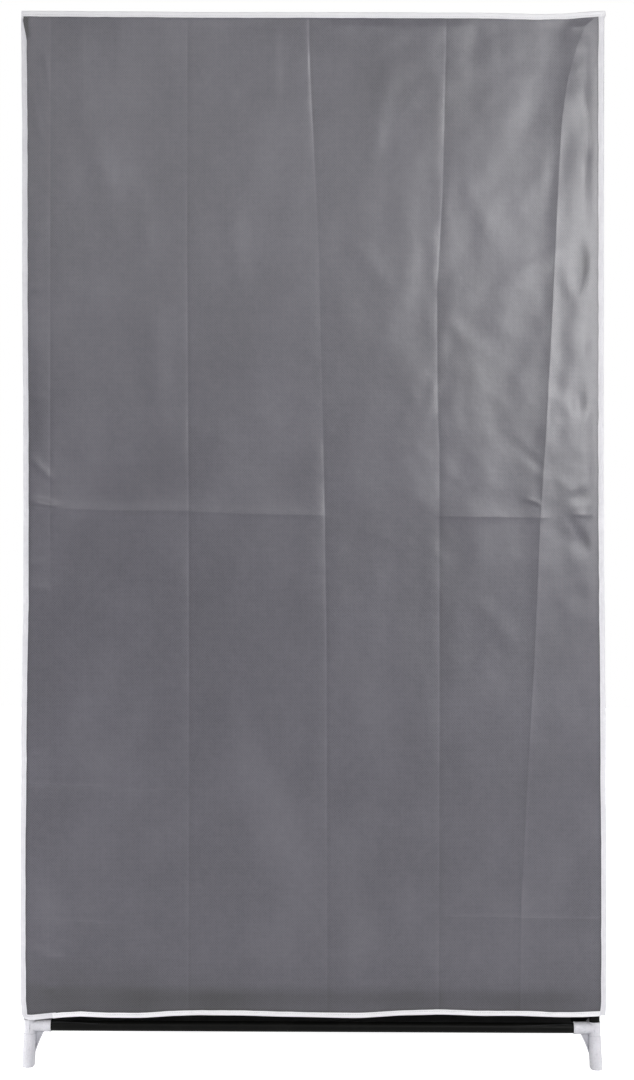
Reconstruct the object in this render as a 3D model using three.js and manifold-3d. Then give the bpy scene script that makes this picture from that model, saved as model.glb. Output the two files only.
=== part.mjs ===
// Portable fabric wardrobe: steel tubes pushed into moulded connectors, a fitted cloth cover and a cloth door flap.
// Millimetres, +Z up, front towards -Y. The door is shown shut, held along both sides by hook and loop tape.
import * as THREE from "three";
import { mergeVertices } from "three/addons/utils/BufferGeometryUtils.js";
import Module from "manifold-3d";

const wasm = await Module();
wasm.setup();

// Frame sizes
const uprightSpanX = 850; // between the upright axes, side to side
const uprightSpanY = 458; // between the upright axes, front to back
const bottomRailZ = 61.7;
const topRailZ = 1571;
const tubeDiameter = 16;
const tubeWall = 0.8;

// Connector sizes
const tubeFit = 0.2; // radial clearance of a tube in its socket
const socketWall = 1.3;
const sleeveReach = 31.5; // from the upright axis to the open end of a sleeve
const topSocketDrop = 34; // from the top rail axis down to the rim of the upright socket
const footSocketDepth = 24;
const tubeStopGap = 0.5; // between a tube's end and the floor of its socket
const rimChamfer = 1.2;
const gussetReach = 21.7; // from the upright axis, along the sleeve
const gussetThickness = 4;
const gussetFootZ = 22; // where the foot's gusset runs out on the leg
const gussetHollow = 3; // how far the gusset's free edge bows in
const topGussetDrop = 27; // from the top rail axis down to the gusset's tip
const legRadius = 9.7;
const legTopZ = 50;
const legSplay = 2.4; // sideways and front to back, at the base
const legChamfer = 3;
const legBaseShift = 1; // how much further out the base sits than the leg above it
const legPocketDepth = 34;
const legWall = 1.8;
const legRib = 1.6;
const couplerLength = 60;
const couplerStop = 2; // thickness of the ring between the two tube ends
const couplerStopRise = 0.6;
const railDrop = 34; // from the side rail axis down to the hanging rail axis
const bracketWidth = 24;
const bracketReach = 29;
const bracketWeb = 5;
const bracketEnd = 3; // closed end of the bracket's socket

// Cloth sizes
const seat = 0.3; // gap between pieces that lie on each other
const cloth = 1;
const stripWidth = 40; // front strip of the cover, behind each side of the door
const stripBottomZ = 88;
const coverHemZ = 86;
const roofSag = 4;
const lipHeight = 7.4; // roof seam that stands up behind the door's top band
const sideCreaseRise = 0.7;
const backCreaseRise = 2.2;
const floorSag = 5;
const floorLap = 7; // how far the floor cloth reaches past the rail axes
const floorNotchGap = 2.5;

// Binding and tape sizes
const bindFold = 0.5; // thickness of one wall of the folded tape
const bindSlotFit = 0.3;
const bindEdgeGap = 1.1; // between a cloth edge and the bottom of the tape's fold
const doorBindWidth = 8.5;
const topBindHeight = 9;
const seamBindWidth = 6.5;
const hemBindWidth = 8;
const bindButtGap = 0.8; // where a side binding of the door ends under the top band
const gripTapeWidth = 20;
const gripTapeThickness = 1;
const gripTapeEndGap = 30; // from a tape's end to the hem or the roof

// Door sizes
const doorHemZ = 70; // lowest point of the hem, at its left end
const doorHemRise = 14;
const topBandSag = 4.6;
const doorCreaseRise = 1.4;
const crossCreaseReach = 70;
const creaseFade = 60;
const foldDrop = 505; // from the top hinge line down to the line where the flap folds over the roof
const foldGap = 1; // between the two halves of the door at the fold

// Worked out from the sizes above
const halfX = uprightSpanX / 2;
const halfY = uprightSpanY / 2;
const tubeRadius = tubeDiameter / 2;
const boreRadius = tubeRadius + tubeFit;
const socketRadius = boreRadius + socketWall;
const bindThickness = cloth + 2 * (bindFold + bindSlotFit);
const bindProud = bindFold + bindSlotFit; // how far a binding stands out from its cloth
const footRimZ = bottomRailZ + socketRadius;
const footSocketFloorZ = footRimZ - footSocketDepth;
const topSocketRimZ = topRailZ - topSocketDrop;
const topSocketFloorZ = topRailZ + socketRadius - socketWall;
const middleZ = (footRimZ + topSocketRimZ) / 2;
const sleeveFloor = socketRadius; // from the upright axis to the floor of a sleeve's bore
const roofUnderZ = topRailZ + socketRadius + seat;
const roofTopZ = roofUnderZ + cloth;
const seamTopZ = roofTopZ + lipHeight;
const sideInnerX = halfX + socketRadius + seat + bindProud;
const sideOuterX = sideInnerX + cloth;
const coverHalfX = sideOuterX + bindProud;
const panelEdgeX = sideInnerX - bindProud - seat; // side edge of the back panel and of the front strips
const backInnerY = halfY + socketRadius + seat + bindProud;
const backOuterY = backInnerY + cloth;
const stripInnerY = -(halfY + socketRadius + seat);
const stripOuterY = stripInnerY - cloth;
const loopTapeY = stripOuterY - seat - gripTapeThickness / 2;
const hookTapeY = loopTapeY - seat - gripTapeThickness;
const doorY = hookTapeY - gripTapeThickness / 2 - seat - cloth / 2;
const doorTopZ = roofTopZ + lipHeight + bindFold;
const hingeY = doorY - cloth / 2 - doorCreaseRise;
const foldZ = doorTopZ - foldDrop;
const gripTapeX = panelEdgeX - stripWidth / 2;
const gripTapeLowZ = doorHemZ + doorHemRise + hemBindWidth + gripTapeEndGap;
const gripTapeHighZ = roofUnderZ - gripTapeEndGap;

// Number of facets
const roundFacets = 16;
const bindFacets = 3;
const gussetFacets = 4;

// Main packing creases of the door: place across the flap at its top and its hem, and share of the rise (minus is a valley)
const doorCreaseShares = [
  [0.05, 0.05, 0.25],
  [0.285, 0.285, 0.55],
  [0.495, 0.524, -0.7],
  [0.728, 0.715, 1],
  [0.959, 0.853, 0.8],
];
const bayColumns = 4;
const crossCreaseShare = 0.493; // height of the crease that crosses the flap, down from the top
const crossCreaseRiseShare = 0.6;

// Line of the hem: place across the flap, and share of the hem's rise
const hemShares = [
  [0, 0], [0.06, 0.1], [0.1, 0.28], [0.18, 0.16], [0.26, 0.47], [0.34, 0.6], [0.45, 0.53],
  [0.58, 0.49], [0.65, 0.82], [0.72, 1], [0.79, 0.88], [0.85, 0.95], [0.92, 0.83], [1, 1],
];
// Line of the top band: place across the flap, and share of its sag
const topSagShares = [[0, 0], [0.2, 0.35], [0.5, 0.45], [0.75, 0.5], [0.89, 1], [1, 0]];
// Packing creases of the other panels, places across and shares of the rise
const panelCreaseShares = [[0.25, 1], [0.5, 0.6], [0.75, 1]];
// Gusset's curve, between its two ends
const gussetBowShare = 0.5;

const finishes = {
  tube: { color: "#1e1e1d", roughness: 0.42, metalness: 0.2 },
  plastic: { color: "#e2e2e6", roughness: 0.45, metalness: 0 },
  cloth: { color: "#74737a", roughness: 0.85, metalness: 0 },
  tape: { color: "#ececee", roughness: 0.8, metalness: 0 },
  grip: { color: "#2b2b2d", roughness: 0.95, metalness: 0 },
  floor: { color: "#161617", roughness: 0.9, metalness: 0 },
};

const axisX = new THREE.Vector3(1, 0, 0);
const axisY = new THREE.Vector3(0, 1, 0);
const axisZ = new THREE.Vector3(0, 0, 1);
const mergeStep = 1e-4;

// A closed geometry as a solid that can be joined and cut
function solidOf(geometry) {
  const bare = geometry.index ? geometry.toNonIndexed() : geometry.clone();
  bare.deleteAttribute("normal");
  bare.deleteAttribute("uv");
  const merged = mergeVertices(bare, mergeStep);
  const mesh = new wasm.Mesh({
    numProp: 3,
    vertProperties: merged.attributes.position.array,
    triVerts: new Uint32Array(merged.index.array),
  });
  return new wasm.Manifold(mesh);
}

function geometryOf(solid) {
  const mesh = solid.getMesh();
  const geometry = new THREE.BufferGeometry();
  geometry.setAttribute("position", new THREE.BufferAttribute(mesh.vertProperties, 3));
  geometry.setIndex(new THREE.BufferAttribute(mesh.triVerts, 1));
  geometry.computeVertexNormals();
  return geometry;
}

function joinAll(geometries) {
  return geometries.map(solidOf).reduce((whole, next) => whole.add(next));
}

function cutAll(whole, geometries) {
  return geometries.map(solidOf).reduce((rest, next) => rest.subtract(next), whole);
}

function namedMesh(name, geometry, finish) {
  const mesh = new THREE.Mesh(geometry, new THREE.MeshStandardMaterial(finishes[finish]));
  mesh.name = name;
  return mesh;
}

// A round bar along an axis, from one place on it to another
function bar(radius, axis, start, end) {
  const geometry = new THREE.CylinderGeometry(radius, radius, end - start, roundFacets);
  geometry.translate(0, (start + end) / 2, 0);
  return geometry.applyQuaternion(new THREE.Quaternion().setFromUnitVectors(axisY, axis));
}

// An open steel tube along an axis, from one place on it to another
function tube(axis, start, end) {
  const ring = new THREE.Shape();
  ring.absarc(0, 0, tubeRadius, 0, 2 * Math.PI, false);
  const hole = new THREE.Path();
  hole.absarc(0, 0, tubeRadius - tubeWall, 0, 2 * Math.PI, true);
  ring.holes.push(hole);
  const options = { depth: end - start, bevelEnabled: false, curveSegments: roundFacets / 2 };
  const geometry = new THREE.ExtrudeGeometry(ring, options).translate(0, 0, start);
  return geometry.applyQuaternion(new THREE.Quaternion().setFromUnitVectors(axisZ, axis));
}

// Moves every point of a geometry by a rule
function bend(geometry, move) {
  const place = geometry.attributes.position;
  const point = new THREE.Vector3();
  for (let i = 0; i < place.count; i += 1) {
    point.fromBufferAttribute(place, i);
    move(point);
    place.setXYZ(i, point.x, point.y, point.z);
  }
  return geometry;
}

function smooth(share) {
  const held = Math.min(Math.max(share, 0), 1);
  return held * held * (3 - 2 * held);
}

// Reads a curve given as a table of [place share, value share]
function along(tableShares, place) {
  const held = Math.min(Math.max(place, 0), 1);
  const next = Math.max(1, tableShares.findIndex((row) => row[0] >= held));
  const [startPlace, startValue] = tableShares[next - 1];
  const [endPlace, endValue] = tableShares[next];
  const step = smooth((held - startPlace) / (endPlace - startPlace));
  return startValue + (endValue - startValue) * step;
}

// The leg of a foot: round rings that splay outwards, with a chamfer that takes most off the inner side.
// An inset leg that runs on below the base is the shape of the hollow inside it.
function legSolid(inset, overrun, high) {
  const baseShift = legSplay + legBaseShift;
  const baseRadius = legRadius - legChamfer / 2;
  const rings = [
    { z: high, shift: 0, radius: legRadius },
    { z: legTopZ / 2, shift: legSplay / 2, radius: legRadius },
    { z: legChamfer, shift: legSplay, radius: legRadius },
    { z: 0, shift: baseShift, radius: baseRadius },
  ];
  if (overrun > 0) rings.push({ z: -overrun, shift: baseShift, radius: baseRadius });
  const points = [];
  for (const ring of rings) {
    for (let i = 0; i < roundFacets; i += 1) {
      const turn = (2 * Math.PI * i) / roundFacets;
      const reach = ring.radius - inset;
      points.push(reach * Math.cos(turn) - ring.shift, reach * Math.sin(turn) - ring.shift, ring.z);
    }
  }
  return closedRings(points, rings.length, roundFacets);
}

// Joins rings of points, top ring first, into one closed geometry
function closedRings(points, ringCount, ringPoints) {
  const faces = [];
  for (let ring = 0; ring < ringCount - 1; ring += 1) {
    for (let i = 0; i < ringPoints; i += 1) {
      const upper = ring * ringPoints + i;
      const upperNext = ring * ringPoints + ((i + 1) % ringPoints);
      const lower = upper + ringPoints;
      const lowerNext = upperNext + ringPoints;
      faces.push(upper, lower, lowerNext, upper, lowerNext, upperNext);
    }
  }
  const last = (ringCount - 1) * ringPoints;
  for (let i = 1; i < ringPoints - 1; i += 1) {
    faces.push(0, i, i + 1, last, last + i + 1, last + i);
  }
  const geometry = new THREE.BufferGeometry();
  geometry.setAttribute("position", new THREE.Float32BufferAttribute(points, 3));
  geometry.setIndex(faces);
  return geometry;
}

// A web between a sleeve and the upright socket or leg, in the plane of the sleeve's axis
function gusset(axis, sleeveZ, tipZ) {
  const side = Math.sign(tipZ - sleeveZ);
  const startZ = sleeveZ + side * (socketRadius - socketWall);
  const outline = new THREE.Shape();
  outline.moveTo(0, sleeveZ);
  outline.lineTo(gussetReach, sleeveZ);
  outline.lineTo(gussetReach, startZ);
  const bowX = socketRadius + (gussetReach - socketRadius) * gussetBowShare - gussetHollow / 2;
  const bowZ = startZ + (tipZ - startZ) * gussetBowShare - (side * gussetHollow) / 2;
  outline.quadraticCurveTo(bowX, bowZ, socketRadius - socketWall, tipZ);
  outline.lineTo(0, tipZ);
  const options = { depth: gussetThickness, bevelEnabled: false, curveSegments: gussetFacets };
  const plate = new THREE.ExtrudeGeometry(outline, options).translate(0, 0, -gussetThickness / 2);
  const across = new THREE.Vector3().crossVectors(axis, axisZ);
  return plate.applyMatrix4(new THREE.Matrix4().makeBasis(axis, axisZ, across));
}

// A sleeve's outside, with a chamfered rim at its open end
function sleeve(axis, start, end) {
  const inner = boreRadius - socketWall;
  const profile = [
    new THREE.Vector2(0, start),
    new THREE.Vector2(socketRadius - rimChamfer, start),
    new THREE.Vector2(socketRadius, start + rimChamfer),
    new THREE.Vector2(socketRadius, end - rimChamfer / 2),
    new THREE.Vector2(socketRadius - rimChamfer / 2, end),
    new THREE.Vector2(inner, end),
    new THREE.Vector2(0, end),
  ];
  const geometry = new THREE.LatheGeometry(profile, roundFacets);
  return geometry.applyQuaternion(new THREE.Quaternion().setFromUnitVectors(axisY, axis));
}

// A foot, with its upright socket on the Z axis and its sleeves towards +X and +Y
function footGeometry() {
  const outside = [
    sleeve(axisZ, footSocketFloorZ - socketWall - rimChamfer, footRimZ),
    sleeve(axisX, -rimChamfer, sleeveReach).translate(0, 0, bottomRailZ),
    sleeve(axisY, -rimChamfer, sleeveReach).translate(0, 0, bottomRailZ),
    legSolid(0, 0, legTopZ),
    gusset(axisX, bottomRailZ, gussetFootZ),
    gusset(axisY, bottomRailZ, gussetFootZ),
  ];
  const bores = [
    bar(boreRadius, axisZ, footSocketFloorZ, footRimZ + socketWall),
    bar(boreRadius, axisX, sleeveFloor, sleeveReach + socketWall).translate(0, 0, bottomRailZ),
    bar(boreRadius, axisY, sleeveFloor, sleeveReach + socketWall).translate(0, 0, bottomRailZ),
  ];
  const hollow = solidOf(legSolid(legWall, legChamfer, legPocketDepth));
  const baseShift = legSplay + legBaseShift;
  const ribs = [axisX, axisY].map((axis) => {
    const rib = new THREE.BoxGeometry(2 * legTopZ, legRib, 2 * legTopZ);
    return rib.applyQuaternion(new THREE.Quaternion().setFromUnitVectors(axisX, axis)).translate(-baseShift, -baseShift, 0);
  });
  const pockets = cutAll(hollow, ribs);
  return geometryOf(cutAll(joinAll(outside), bores).subtract(pockets));
}

// A top corner connector, with its upright socket on the Z axis and its sleeves towards +X and +Y
function cornerGeometry() {
  const outside = [
    sleeve(axisZ.clone().negate(), -topRailZ - socketRadius, -topSocketRimZ),
    sleeve(axisX, -rimChamfer, sleeveReach).translate(0, 0, topRailZ),
    sleeve(axisY, -rimChamfer, sleeveReach).translate(0, 0, topRailZ),
    gusset(axisX, topRailZ, topRailZ - topGussetDrop),
    gusset(axisY, topRailZ, topRailZ - topGussetDrop),
  ];
  const bores = [
    bar(boreRadius, axisZ, topSocketRimZ - socketWall, topSocketFloorZ),
    bar(boreRadius, axisX, sleeveFloor, sleeveReach + socketWall).translate(0, 0, topRailZ),
    bar(boreRadius, axisY, sleeveFloor, sleeveReach + socketWall).translate(0, 0, topRailZ),
  ];
  return geometryOf(cutAll(joinAll(outside), bores));
}

// A straight coupler with a ring inside that parts the two tube ends
function couplerGeometry() {
  const half = couplerLength / 2;
  const stopRadius = boreRadius - couplerStopRise;
  const profile = [
    new THREE.Vector2(boreRadius, -half),
    new THREE.Vector2(socketRadius, -half),
    new THREE.Vector2(socketRadius, half),
    new THREE.Vector2(boreRadius, half),
    new THREE.Vector2(boreRadius, couplerStop / 2),
    new THREE.Vector2(stopRadius, couplerStop / 2),
    new THREE.Vector2(stopRadius, -couplerStop / 2),
    new THREE.Vector2(boreRadius, -couplerStop / 2),
    new THREE.Vector2(boreRadius, -half),
  ];
  return new THREE.LatheGeometry(profile, roundFacets).rotateX(Math.PI / 2);
}

// A bracket that hangs from a side rail on the Y axis and holds the hanging rail below, towards +X
function bracketGeometry() {
  const web = new THREE.Shape();
  web.moveTo(-socketRadius + rimChamfer, 0);
  web.lineTo(-socketRadius + rimChamfer, -railDrop);
  web.lineTo(bracketReach - bracketWeb, -railDrop);
  web.quadraticCurveTo(socketRadius, -railDrop / 2, socketRadius - rimChamfer, 0);
  const options = { depth: bracketWeb, bevelEnabled: false, curveSegments: gussetFacets };
  const plate = new THREE.ExtrudeGeometry(web, options).rotateX(Math.PI / 2).translate(0, bracketWeb / 2, 0);
  const outside = [
    sleeve(axisY, -bracketWidth / 2, bracketWidth / 2),
    sleeve(axisX, -socketRadius, bracketReach).translate(0, 0, -railDrop),
    plate,
  ];
  const bores = [
    bar(boreRadius, axisY, -bracketWidth, bracketWidth),
    bar(boreRadius, axisX, bracketEnd - socketRadius, bracketReach + socketWall).translate(0, 0, -railDrop),
  ];
  return geometryOf(cutAll(joinAll(outside), bores));
}

const corners = [
  { name: "front_left", side: -1, end: -1 },
  { name: "front_right", side: 1, end: -1 },
  { name: "back_left", side: -1, end: 1 },
  { name: "back_right", side: 1, end: 1 },
];
const sides = [
  { name: "left", side: -1 },
  { name: "right", side: 1 },
];
const ends = [
  { name: "front", end: -1 },
  { name: "back", end: 1 },
];

function addUprights(group) {
  const foot = footGeometry();
  const corner = cornerGeometry();
  const coupler = couplerGeometry();
  const lowStart = footSocketFloorZ + tubeStopGap;
  const lowEnd = middleZ - couplerStop / 2 - tubeStopGap;
  const highStart = middleZ + couplerStop / 2 + tubeStopGap;
  const highEnd = topSocketFloorZ - tubeStopGap;
  for (const { name, side, end } of corners) {
    const stand = new THREE.Group();
    stand.position.set(side * halfX, end * halfY, 0);
    const footMesh = namedMesh(`foot_${name}`, foot, "plastic");
    const cornerMesh = namedMesh(`corner_top_${name}`, corner, "plastic");
    footMesh.scale.set(-side, -end, 1);
    cornerMesh.scale.set(-side, -end, 1);
    const couplerMesh = namedMesh(`coupler_${name}`, coupler, "plastic");
    couplerMesh.position.z = middleZ;
    const lowTube = namedMesh(`upright_lower_${name}`, tube(axisZ, lowStart, lowEnd), "tube");
    const highTube = namedMesh(`upright_upper_${name}`, tube(axisZ, highStart, highEnd), "tube");
    stand.add(footMesh, cornerMesh, couplerMesh, lowTube, highTube);
    group.add(stand);
  }
}

function addRails(group) {
  const endX = halfX - sleeveFloor - tubeStopGap;
  const endY = halfY - sleeveFloor - tubeStopGap;
  const levels = [
    { name: "bottom", z: bottomRailZ },
    { name: "top", z: topRailZ },
  ];
  for (const level of levels) {
    for (const { name, end } of ends) {
      const rail = namedMesh(`rail_${level.name}_${name}`, tube(axisX, -endX, endX), "tube");
      rail.position.set(0, end * halfY, level.z);
      group.add(rail);
    }
    for (const { name, side } of sides) {
      const rail = namedMesh(`rail_${level.name}_${name}`, tube(axisY, -endY, endY), "tube");
      rail.position.set(side * halfX, 0, level.z);
      group.add(rail);
    }
  }
}

function addHangingRail(group) {
  const bracket = bracketGeometry();
  const reach = halfX + socketRadius - bracketEnd - tubeStopGap;
  const rail = namedMesh("hanging_rail", tube(axisX, -reach, reach), "tube");
  rail.position.z = topRailZ - railDrop;
  group.add(rail);
  for (const { name, side } of sides) {
    const mesh = namedMesh(`rail_bracket_${name}`, bracket, "plastic");
    mesh.scale.x = -side;
    mesh.position.set(side * halfX, 0, topRailZ);
    group.add(mesh);
  }
}

// Sets the second line of points of an even sheet over the rails' inner sides, and spreads the others between them
function overRail(place, reach, inner, count) {
  const even = Math.abs(place) / reach;
  return even > 1 - 1 / count ? place : (place * inner) / (reach * (1 - 2 / count));
}

// A sheet stretched over a ring of rails, sagging between them
function railSheet(reachX, lowY, highY, z, sag, columns, rows) {
  const innerX = halfX - socketRadius;
  const innerY = halfY - socketRadius;
  const reachY = (highY - lowY) / 2;
  const middleY = (highY + lowY) / 2;
  const sheet = new THREE.BoxGeometry(2 * reachX, 2 * reachY, cloth, columns, rows, 1);
  return bend(sheet.translate(0, 0, z), (point) => {
    const x = overRail(point.x, reachX, innerX, columns);
    const y = overRail(point.y, reachY, innerY, rows);
    const edged = Math.abs(y) > innerY + seat;
    const acrossX = Math.max(0, 1 - (x / innerX) ** 2);
    const acrossY = Math.max(0, 1 - (y / innerY) ** 2);
    point.set(x, edged ? y + middleY : y, point.z - sag * Math.sqrt(acrossX * acrossY));
  });
}

// The floor cloth lies over the bottom rails, notched round the four feet
function addFloorCloth(group) {
  const lowZ = bottomRailZ + tubeRadius + seat;
  const reachX = halfX + floorLap;
  const reachY = halfY + floorLap;
  const sheet = railSheet(reachX, -reachY, reachY, lowZ + cloth / 2, floorSag, 10, 6);
  const notchX = halfX - sleeveReach - floorNotchGap;
  const notchY = halfY - sleeveReach - floorNotchGap;
  const notches = corners.map(({ side, end }) => {
    const middleX = (side * (notchX + reachX + floorLap)) / 2;
    const middleY = (end * (notchY + reachY + floorLap)) / 2;
    const notch = new THREE.BoxGeometry(reachX + floorLap - notchX, reachY + floorLap - notchY, socketRadius);
    return notch.translate(middleX, middleY, lowZ);
  });
  group.add(namedMesh("floor_cloth", geometryOf(cutAll(solidOf(sheet), notches)), "floor"));
}

// A strip of folded tape. It is closed along the edge that closedWay points to, and starts at a point on its open edge.
function binding(width, length, steps, closedWay, alongWay, start) {
  const outer = bindThickness / 2;
  const slot = cloth / 2 + bindSlotFit;
  const fold = width - bindFold;
  const section = new THREE.Shape();
  section.moveTo(0, -outer);
  section.lineTo(width - outer, -outer);
  section.absarc(width - outer, 0, outer, -Math.PI / 2, Math.PI / 2, false);
  section.lineTo(0, outer);
  section.lineTo(0, slot);
  section.lineTo(fold, slot);
  section.lineTo(fold, -slot);
  section.lineTo(0, -slot);
  const options = { depth: length, steps, bevelEnabled: false, curveSegments: bindFacets };
  const geometry = new THREE.ExtrudeGeometry(section, options);
  const flatWay = new THREE.Vector3().crossVectors(alongWay, closedWay);
  const basis = new THREE.Matrix4().makeBasis(closedWay, flatWay, alongWay);
  return geometry.applyMatrix4(basis.setPosition(start));
}

// Height of a set of parallel packing creases at a place across a panel
function creaseHeight(tableShares, place) {
  const inner = tableShares.filter((row) => row[0] > 0 && row[0] < 1);
  let height = 0;
  for (const [middle, share] of inner) {
    const gap = 1 / (inner.length + 1);
    const away = Math.min(Math.abs(place - middle) / gap, 1);
    height += share * (1 - Math.sin((Math.PI / 2) * away));
  }
  return height;
}

// Side, back and roof panels. Each stands proud at its seams, where a binding closes it.
function addCoverPanels(group) {
  const seamReach = lipHeight - bindEdgeGap;
  const panelTopZ = roofTopZ + seamReach;
  const panelLowZ = coverHemZ + bindEdgeGap;
  const panelHeight = panelTopZ - panelLowZ;
  const middle = (panelTopZ + panelLowZ) / 2;
  const fadeAt = (z) => smooth((panelTopZ - z) / creaseFade) * smooth((z - panelLowZ) / creaseFade);

  const backEdgeY = backOuterY + seat + seamBindWidth - bindFold - bindEdgeGap;
  const sideLength = backEdgeY - stripOuterY;
  for (const { name, side } of sides) {
    const panel = new THREE.BoxGeometry(cloth, sideLength, panelHeight, 1, 12, 10);
    panel.translate(side * (sideInnerX + cloth / 2), (backEdgeY + stripOuterY) / 2, middle);
    bend(panel, (point) => {
      const place = (point.y - stripOuterY) / sideLength;
      point.x += side * sideCreaseRise * creaseHeight(panelCreaseShares, place) * fadeAt(point.z);
    });
    group.add(namedMesh(`side_panel_${name}`, panel, "cloth"));
  }

  const back = new THREE.BoxGeometry(2 * panelEdgeX, cloth, panelHeight, 12, 1, 10);
  back.translate(0, backInnerY + cloth / 2, middle);
  bend(back, (point) => {
    const place = (point.x + panelEdgeX) / (2 * panelEdgeX);
    point.y += backCreaseRise * creaseHeight(panelCreaseShares, place) * fadeAt(point.z);
  });
  group.add(namedMesh("back_panel", back, "cloth"));
}

function topSagAt(x) {
  return topBandSag * along(topSagShares, (x + coverHalfX) / (2 * coverHalfX));
}

// The roof is stretched over the top rails, sags between them and turns up along its front seam
function addRoof(group) {
  const reachX = sideInnerX - seat;
  const frontY = stripOuterY - seat - cloth;
  const backY = backInnerY - seat;
  const sheet = railSheet(reachX, frontY, backY, roofUnderZ + cloth / 2, roofSag, 10, 8);
  const lip = new THREE.BoxGeometry(2 * reachX, cloth, lipHeight, 24, 1, 1);
  lip.translate(0, frontY + cloth / 2, roofTopZ + lipHeight / 2);
  bend(lip, (point) => {
    const top = smooth((point.z - roofTopZ) / lipHeight);
    point.z -= point.z > roofTopZ ? topSagAt(point.x) * top + bindFold : cloth / 2;
  });
  group.add(namedMesh("roof_panel", geometryOf(solidOf(sheet).add(solidOf(lip))), "cloth"));
}

// The strips that turn in behind the door's sides, and the loop tape sewn to them
function addFrontStrips(group) {
  const height = roofUnderZ - seat - stripBottomZ;
  const tapeHeight = gripTapeHighZ - gripTapeLowZ;
  for (const { name, side } of sides) {
    const strip = new THREE.BoxGeometry(stripWidth, cloth, height);
    const mesh = namedMesh(`front_strip_${name}`, strip, "cloth");
    mesh.position.set(side * gripTapeX, stripOuterY + cloth / 2, stripBottomZ + height / 2);
    const tape = new THREE.BoxGeometry(gripTapeWidth, gripTapeThickness, tapeHeight);
    const tapeMesh = namedMesh(`loop_tape_${name}`, tape, "grip");
    tapeMesh.position.set(side * gripTapeX, loopTapeY, gripTapeLowZ + tapeHeight / 2);
    group.add(mesh, tapeMesh);
  }
}

// White bindings of the cover's seams and hems
function addCoverBindings(group) {
  const sideX = sideInnerX + cloth / 2;
  const backMiddleY = backInnerY + cloth / 2;
  const seamY = backOuterY + seat;
  const seamEndY = seamY + seamBindWidth;
  const seamZ = roofTopZ + seat;
  const openTop = seamTopZ - seamBindWidth;
  const hemTopZ = coverHemZ + hemBindWidth;
  const down = axisZ.clone().negate();
  for (const { name, side } of sides) {
    const roofStart = new THREE.Vector3(side * sideX, stripOuterY, Math.max(openTop, seamZ));
    const roofSeam = binding(seamBindWidth, seamEndY - stripOuterY, 1, axisZ, axisY, roofStart);
    const backStart = new THREE.Vector3(side * sideX, seamY, coverHemZ);
    const backSeam = binding(seamBindWidth, openTop - seat - coverHemZ, 1, axisY, axisZ, backStart);
    const hemStart = new THREE.Vector3(side * sideX, stripOuterY, hemTopZ);
    const hem = binding(hemBindWidth, seamY - seat - stripOuterY, 1, down, axisY, hemStart);
    group.add(namedMesh(`binding_roof_${name}`, roofSeam, "tape"));
    group.add(namedMesh(`binding_back_${name}`, backSeam, "tape"));
    group.add(namedMesh(`binding_hem_${name}`, hem, "tape"));
  }
  const reach = panelEdgeX;
  const roofStart = new THREE.Vector3(-reach, backMiddleY, openTop);
  const hemStart = new THREE.Vector3(-reach, backMiddleY, hemTopZ);
  group.add(namedMesh("binding_roof_back", binding(seamBindWidth, 2 * reach, 1, axisZ, axisX, roofStart), "tape"));
  group.add(namedMesh("binding_hem_back", binding(hemBindWidth, 2 * reach, 1, down, axisX, hemStart), "tape"));
}

function hemLineAt(x) {
  return doorHemZ + doorHemRise * along(hemShares, (x + coverHalfX) / (2 * coverHalfX));
}

// Sets the door's columns on its creases: an even place across becomes the place of that column at a height
function doorColumnPlace(even, downShare) {
  const marks = [0, ...doorCreaseShares.map(([top, hem]) => top + (hem - top) * downShare), 1];
  const bays = marks.length - 1;
  const bay = Math.min(Math.floor(even * bays), bays - 1);
  return marks[bay] + (marks[bay + 1] - marks[bay]) * (even * bays - bay);
}

// How far the door's cloth stands forward of its plane at a column and a height
function doorRelief(even, z) {
  const rises = [0, ...doorCreaseShares.map((row) => row[2]), 0];
  const bays = rises.length - 1;
  const bay = Math.min(Math.floor(even * bays), bays - 1);
  const step = even * bays - bay;
  const left = bay === 0 ? 0 : rises[bay] * (1 - Math.sin((Math.PI / 2) * step));
  const right = bay === bays - 1 ? 0 : rises[bay + 1] * (1 - Math.cos((Math.PI / 2) * step));
  const edge = bay === 0 ? rises[1] * smooth(step) : rises[bays - 1] * smooth(1 - step);
  const ridge = bay === 0 || bay === bays - 1 ? edge : left + right;
  const crossZ = doorTopZ - (doorTopZ - doorHemZ) * crossCreaseShare;
  const away = Math.abs(z - crossZ) / crossCreaseReach;
  const cross = crossCreaseRiseShare * Math.exp(-away) * smooth(even * bays) * smooth((1 - even) * bays);
  const fade = smooth((doorTopZ - z) / creaseFade) * smooth((z - doorHemZ - doorHemRise) / creaseFade);
  return doorCreaseRise * Math.max(-1, Math.min(1, ridge + cross * (1 - Math.abs(ridge)))) * fade;
}

// One half of the door's cloth, between a straight fold edge and an edge that follows a line
function doorClothGeometry(lowLine, highLine, rows) {
  const reach = coverHalfX - bindFold - bindEdgeGap;
  const columns = bayColumns * (doorCreaseShares.length + 1);
  const sheet = new THREE.BoxGeometry(1, cloth, 1, columns, 1, rows);
  return bend(sheet, (point) => {
    const even = point.x + 1 / 2;
    const up = point.z + 1 / 2;
    const roughX = reach * (2 * even - 1);
    const roughZ = lowLine(roughX) + (highLine(roughX) - lowLine(roughX)) * up;
    const downShare = (doorTopZ - roughZ) / (doorTopZ - doorHemZ);
    point.x = reach * (2 * doorColumnPlace(even, downShare) - 1);
    point.z = lowLine(point.x) + (highLine(point.x) - lowLine(point.x)) * up;
    point.y += doorY - doorRelief(even, point.z);
  });
}

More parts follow.
